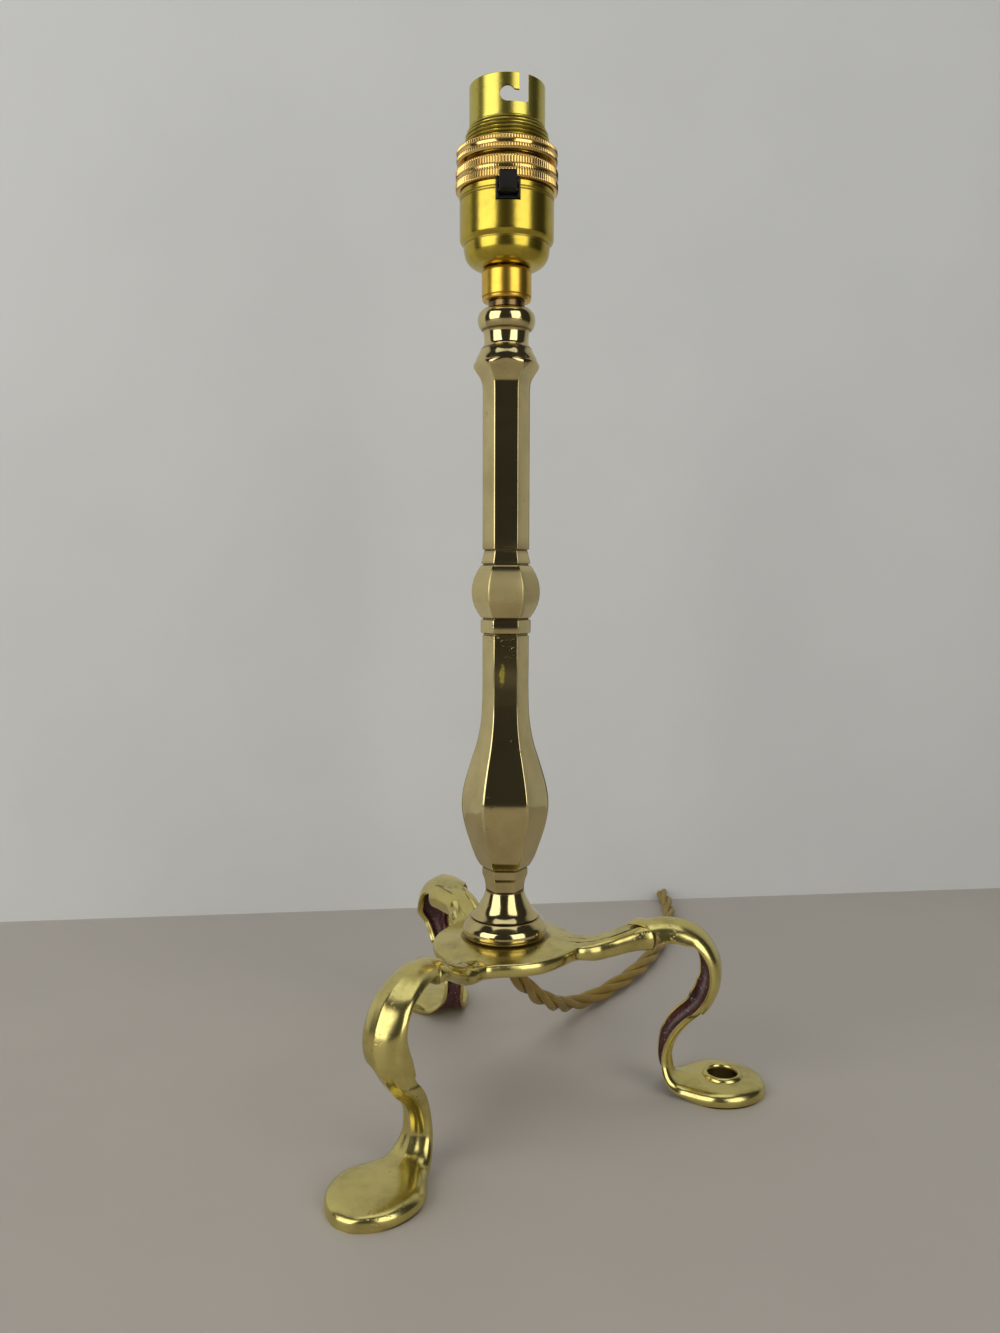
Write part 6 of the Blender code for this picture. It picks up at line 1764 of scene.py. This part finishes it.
@dataclass
class Holder:
    """The bayonet holder: coupler, cap, rings, barrel, switch and insides.

    Its fields and turned profiles are in millimetres, its boxes and rods in metres.
    """

    teeth: int = 120
    knurl: float = 0.16
    pitch: float = 1.27
    thread_depth: float = 0.58
    thread_low: float = 323.9
    thread_top: float = 340.0
    barrel_sides: int = 120
    inner_radius: float = 12.01
    mouth_radius: float = 12.96
    shell_radius: float = 14.32
    mouth_step: float = 1.36
    mouth_start: float = 336.2
    mouth_rise: float = 3.9

    def coupler(self, finishes: Finishes) -> None:
        """The turned piece between the column and the cap."""
        piece = lathe("coupler_turning", (
            (5.3, 282.05), (7.9, 282.05), (8.25, 282.2), (8.45, 282.6), (8.5, 283.1), (8.3, 283.25),
            (8.3, 283.45), (8.55, 283.6), (8.62, 283.9), (8.62, 291.3), (8.5, 292.0), (8.1, 292.55),
            (7.5, 292.78), (5.3, 292.78),
        ))
        self.groove(piece, (283.35,))
        settle(piece, Body.LAMP, finishes.coupler, "coupler")

    def groove(self, piece: bpy.types.Object, heights: Sequence[float]) -> None:
        """Darkens a turned piece in narrow bands at some heights, at its grooves."""
        mark_shade_and_grime(piece, lambda point: max(bell(point.z / MM - height, 0.22) for height in heights))

    def cap(self, finishes: Finishes) -> None:
        """The spun lower shell, its two grooves and the slot for the switch."""
        outer = [(8.9, 293.1)]
        outer += [tuple(p) for p in smooth_line(
            ((8.9, 293.1), (11.16, 293.6), (13.06, 294.83), (14.26, 296.56), (14.76, 298.7),
             (14.85, 300.0)), 6)][1:]
        outer += [tuple(p) for p in smooth_line(
            ((14.87, 300.25), (15.0, 300.8), (15.55, 301.3), (16.05, 302.0), (16.22, 303.0),
             (16.25, 304.5)), 4)]
        for low in (314.9, 315.8):
            outer += [(16.25, low - 0.2), (16.08, low - 0.05), (16.08, low + 0.1),
                      (16.25, low + 0.25)]
        outer += [(16.25, 317.6), (16.05, 317.8), (15.5, 317.8), (15.5, 322.4)]
        inner = [(14.7, 322.4), (14.7, 303.2), (14.05, 302.3), (14.05, 300.3), (13.9, 298.9),
                 (13.4, 296.9), (12.3, 295.4), (10.8, 294.4), (8.9, 293.9), (5.3, 293.9),
                 (5.3, 293.1)]
        piece = lathe("cap_spinning", outer + inner, 128)
        self.groove(piece, (314.92, 315.82, 300.3))
        slot = block("switch_slot", (0.0083, 0.0080, 0.0134), (SWITCH_X, -0.01625, 0.3177))
        carve(piece, slot)
        shade(piece, 30.0)
        settle(piece, Body.LAMP, finishes.holder, "holder_cap")

    def knurled(self, name: str, profile: Sequence[tuple[float, float, float]]) -> bpy.types.Object:
        """A ring whose bands carry teeth.

        Args:
            name: the piece's name.
            profile: (radius, height, tooth share) points, closed.

        Returns:
            The ring.
        """
        sides = self.teeth * 4
        rows = []
        for radius, height, share in profile:
            row = []
            for n in range(sides):
                angle = math.tau * n / sides
                dip = (0.0, 0.75, 1.0, 0.75)[n % 4]
                reach = (radius - self.knurl * 2 * share * dip) * MM
                row.append(turned(reach, angle, height * MM))
            rows.append(row)
        outer = max(radius for radius, _, _ in profile)

        def shade_and_grime(point: Vector) -> float:
            """Painted shade between the teeth."""
            place = round(math.atan2(point.y, point.x) / math.tau * sides) % 4
            return (0.0, 0.3, 0.9, 0.3)[place] if point.xy.length / MM > outer - 0.45 else 0.0

        return wrap(name, rows, ring=True, shade_and_grime=shade_and_grime, degrees=55.0)

    def rings(self, finishes: Finishes) -> None:
        """The ring that holds the barrel down, and the ring for a shade."""
        lower = self.knurled("retaining_knurl", (
            (14.62, 325.9, 0), (16.3, 325.9, 0), (16.75, 325.75, 0), (17.25, 325.2, 0),
            (17.4, 324.95, 0), (17.5, 324.75, 0.7), (17.55, 324.5, 1), (17.55, 322.7, 1),
            (17.45, 322.5, 0.7), (17.1, 322.35, 0), (17.1, 321.0, 0), (17.45, 320.85, 0.7),
            (17.55, 320.6, 1), (17.55, 318.7, 1), (17.45, 318.45, 0.7), (17.2, 318.15, 0),
            (16.9, 318.1, 0), (15.8, 318.1, 0), (15.8, 323.9, 0), (14.62, 323.9, 0),
        ))
        settle(lower, Body.LAMP, finishes.ring, "retaining_ring")
        upper = self.knurled("shade_knurl", (
            (14.62, 331.7, 0), (16.8, 331.7, 0), (17.1, 331.6, 0), (17.25, 331.45, 0.7),
            (17.3, 331.3, 1), (17.3, 330.5, 1), (17.2, 330.35, 0.7), (16.85, 330.25, 0),
            (16.8, 330.1, 0), (16.8, 329.2, 0), (16.85, 329.05, 0), (17.2, 328.95, 0.7),
            (17.3, 328.8, 1), (17.3, 328.0, 1), (17.2, 327.85, 0.7), (16.7, 327.2, 0),
            (14.62, 327.2, 0),
        ))
        settle(upper, Body.SHADE_RING, finishes.ring, "shade_ring")

    def crest(self, height: float) -> float:
        """The barrel's outer radius at a height: its threaded shell's, drawn in to the mouth's."""
        drawn_in = ease((height - self.mouth_start) / self.mouth_rise)
        return self.shell_radius - self.mouth_step * drawn_in

    def barrel(self, finishes: Finishes) -> None:
        """The upper shell: flange, thread, plain mouth and two bayonet slots."""
        angles = [math.tau * n / self.barrel_sides for n in range(self.barrel_sides)]
        inner, mouth = self.inner_radius, self.mouth_radius
        low, top = self.thread_low, self.thread_top
        line = [(inner, 322.7), (inner, 352.5), (inner, 352.75), (12.1, 352.95), (12.45, 353.0),
                (12.8, 352.9),
                (mouth, 352.65), (mouth, 352.4), (mouth, 341.0), (mouth, 340.75)]
        heights = [top - n * self.pitch / 7 for n in range(int((top - low) / self.pitch * 7))]
        rows = [[turned(radius, angle, height) * MM for angle in angles] for radius, height in line]
        for height in heights:
            row = []
            for angle in angles:
                phase = (height - self.pitch * angle / math.tau) / self.pitch
                wave = 0.5 + 0.5 * math.cos(math.tau * phase)
                fade = ease((top - height) / 0.8) * ease((height - low) / 0.8)
                radius = self.crest(height) - self.thread_depth * wave**1.2 * fade
                row.append(turned(radius, angle, height) * MM)
            rows.append(row)
        for radius, height in ((self.shell_radius, 323.6), (15.5, 323.6), (15.5, 322.7)):
            rows.append([turned(radius, angle, height) * MM for angle in angles])

        def shade_and_grime(point: Vector) -> float:
            """Shade in the valleys of the thread."""
            height, reach = point.z / MM, point.xy.length / MM
            shade_share = 0.85 * ease((self.crest(height) - 0.05 - reach) / 0.45)
            return shade_share if low < height < top and reach > 12.3 else 0.0

        piece = wrap("barrel_shell", rows, ring=True, shade_and_grime=shade_and_grime, degrees=40.0)
        for sign in (-1, 1):
            y = sign * 0.01296
            tools = [
                block("slot", (0.00305, 0.010, 0.0114), (-sign * 0.00545, y, 0.3493)),
                rod("hook", 0.0026, 0.010, (-sign * 0.0001, y, 0.34615), Axis.Y, 40),
                block("way", (0.0054, 0.010, 0.00395), (-sign * 0.0028, y, 0.345575)),
            ]
            for tool in tools:
                carve(piece, tool)
        shade(piece, 32.0)
        settle(piece, Body.LAMP, finishes.barrel, "holder_barrel")

    def switch(self, finishes: Finishes) -> None:
        """The black frame and the rocker in it."""
        surround = block("switch_surround", (0.0077, 0.0066, 0.0065), (SWITCH_X, -0.01365, 0.31455))
        carve(surround, block("opening", (0.0063, 0.0090, 0.0065), (SWITCH_X, -0.01365, 0.31525)))
        soften(surround, 0.00022, 3)
        settle(surround, Body.LAMP, finishes.black, "switch_frame")
        y, z = -0.01445, 0.3148
        outline = ((-0.0009, -0.0025), (-0.0030, -0.0017), (-0.0046, -0.0008), (-0.0060, 0.0016),
                   (-0.0068, 0.0036), (-0.0066, 0.0041), (-0.0058, 0.0042), (-0.0053, 0.0038),
                   (-0.0046, 0.0022), (-0.0040, 0.0016), (0.0015, 0.0015), (0.0032, 0.0004),
                   (0.0033, -0.0003), (0.0016, -0.0013))
        rows = []
        for x, inset in ((-0.0026, 0.00035), (-0.0025, 0.0001), (-0.0024, 0.0), (0.0030, 0.0),
                         (0.0031, 0.0001), (0.0032, 0.00035)):
            centre = Vector((-0.0015, 0.0006))
            row = []
            for dy, dz in outline:
                spot = Vector((dy, dz))
                spot -= (spot - centre).normalized() * inset
                row.append(Vector((x, y + spot.x, z + spot.y)))
            rows.append(row)
        ends = [[sum(row, Vector()) / len(row)] * len(row) for row in (rows[0], rows[-1])]
        rocker = wrap("rocker_moulding", [ends[0], *rows, ends[1]], degrees=32.0)
        soften(rocker, 0.00018, 2, 30.0)
        settle(rocker, Body.ROCKER, finishes.black, "switch_rocker")

    def insides(self, finishes: Finishes) -> None:
        """The insulator with its two sprung plungers, and what stays as packed."""
        block_piece = lathe("insulator_moulding", (
            (0.0, 333.9), (7.9, 333.9), (8.2, 334.4), (11.3, 334.4), (11.61, 334.1), (11.61, 322.4),
            (14.2, 322.4), (14.3, 322.2), (14.3, 303.5), (12.7, 303.5), (12.7, 309.2), (0.0, 309.2),
        ), 96)
        away = 0.0052
        for x in (-away, away):
            carve(block_piece, rod("plunger_way", 0.00225, 0.02, (x, 0.0, 0.3264), Axis.Z, 40))
        notch = block("switch_notch", (0.0083, 0.0090, 0.0150), (SWITCH_X, -0.0139, 0.3106))
        carve(block_piece, notch)
        settle(block_piece, Body.LAMP, finishes.phenolic, "insulator")
        for body, side, x in ((Body.LEFT_PLUNGER, "left", -away),
                              (Body.RIGHT_PLUNGER, "right", away)):
            plunger = lathe(f"plunger_{side}", (
                (0.0, 340.4), (0.7, 340.33), (1.3, 340.05), (1.7, 339.5), (1.88, 338.8),
                (1.9, 338.2), (1.9, 334.9), (1.82, 334.8), (1.82, 334.5), (1.9, 334.4),
                (1.9, 326.7), (0.0, 326.7),
            ), 40)
            plunger.data.transform(Matrix.Translation((x, 0.0, 0.0)))
            settle(plunger, body, finishes.ring, f"contact_plunger_{side}")
        dress_nodes(finishes.steel, "plunger_spring_left", "plunger_spring_right",
                    "terminal_screw_left",
                    "terminal_screw_right", "earth_screw", "rocker_pivot_pin")
        dress_nodes(finishes.ring, "terminal_block_left", "terminal_block_right",
                    "switch_contact_strip",
                    "earth_tag", "entry_nipple", "entry_lock_nut")
        dress_nodes(finishes.black, "cord_bush")

    def cores(self, finishes: Finishes) -> None:
        """The three insulated cores from the flex to their terminals."""
        start, offset, bore_z, half = 0.2991, 0.0020, 0.3069, 0.0038
        routes = {
            "live_core": ("brown", [(offset * 0.6, 0, start), (offset * 0.6, 0, start + 0.002),
                                    (offset * 0.7, 0.00175, (start + bore_z) / 2),
                                    (half * 0.5, 0.0035, bore_z),
                                    (half, 0.0035, bore_z)]),
            "neutral_core": ("blue", [(-offset * 0.6, 0, start), (-offset * 0.6, 0, start + 0.002),
                                      (-offset * 0.7, 0.00175, (start + bore_z) / 2),
                                      (-half * 0.5, 0.0035, bore_z),
                                      (-half, 0.0035, bore_z)]),
            "earth_core": ("green",
                           [(0, offset, start), (0, offset, start + 0.0015), (0, 0.0046, 0.3022),
                                     (0, 0.0062, 0.3008)]),
        }
        for node, (tone, route) in routes.items():
            path = even_line(smooth_line(route, 8), 0.0003)
            sleeve = tube(f"{node}_sleeve", path, lambda share: 0.00095, 16)
            settle(sleeve, Body.LAMP, finishes.cores[tone], node)

    def build(self, finishes: Finishes) -> None:
        """Makes the whole holder from the coupler up."""
        self.coupler(finishes)
        self.cap(finishes)
        self.rings(finishes)
        self.barrel(finishes)
        self.switch(finishes)
        self.insides(finishes)
        self.cores(finishes)


def main() -> None:
    """Builds the lamp over its frame, from the studio and flex up to the holder."""
    logging.basicConfig(level=logging.INFO, format="%(name)s: %(message)s")
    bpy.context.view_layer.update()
    finishes = Finishes()
    Studio().build()
    plug_pieces = Plug().build(finishes)
    Flex().build(finishes, plug_pieces)
    BasePlate().build(finishes)
    for leg in LEGS:
        leg.build(finishes)
    Column().build(finishes)
    Holder().build(finishes)
    clear()


if __name__ == "__main__":
    main()
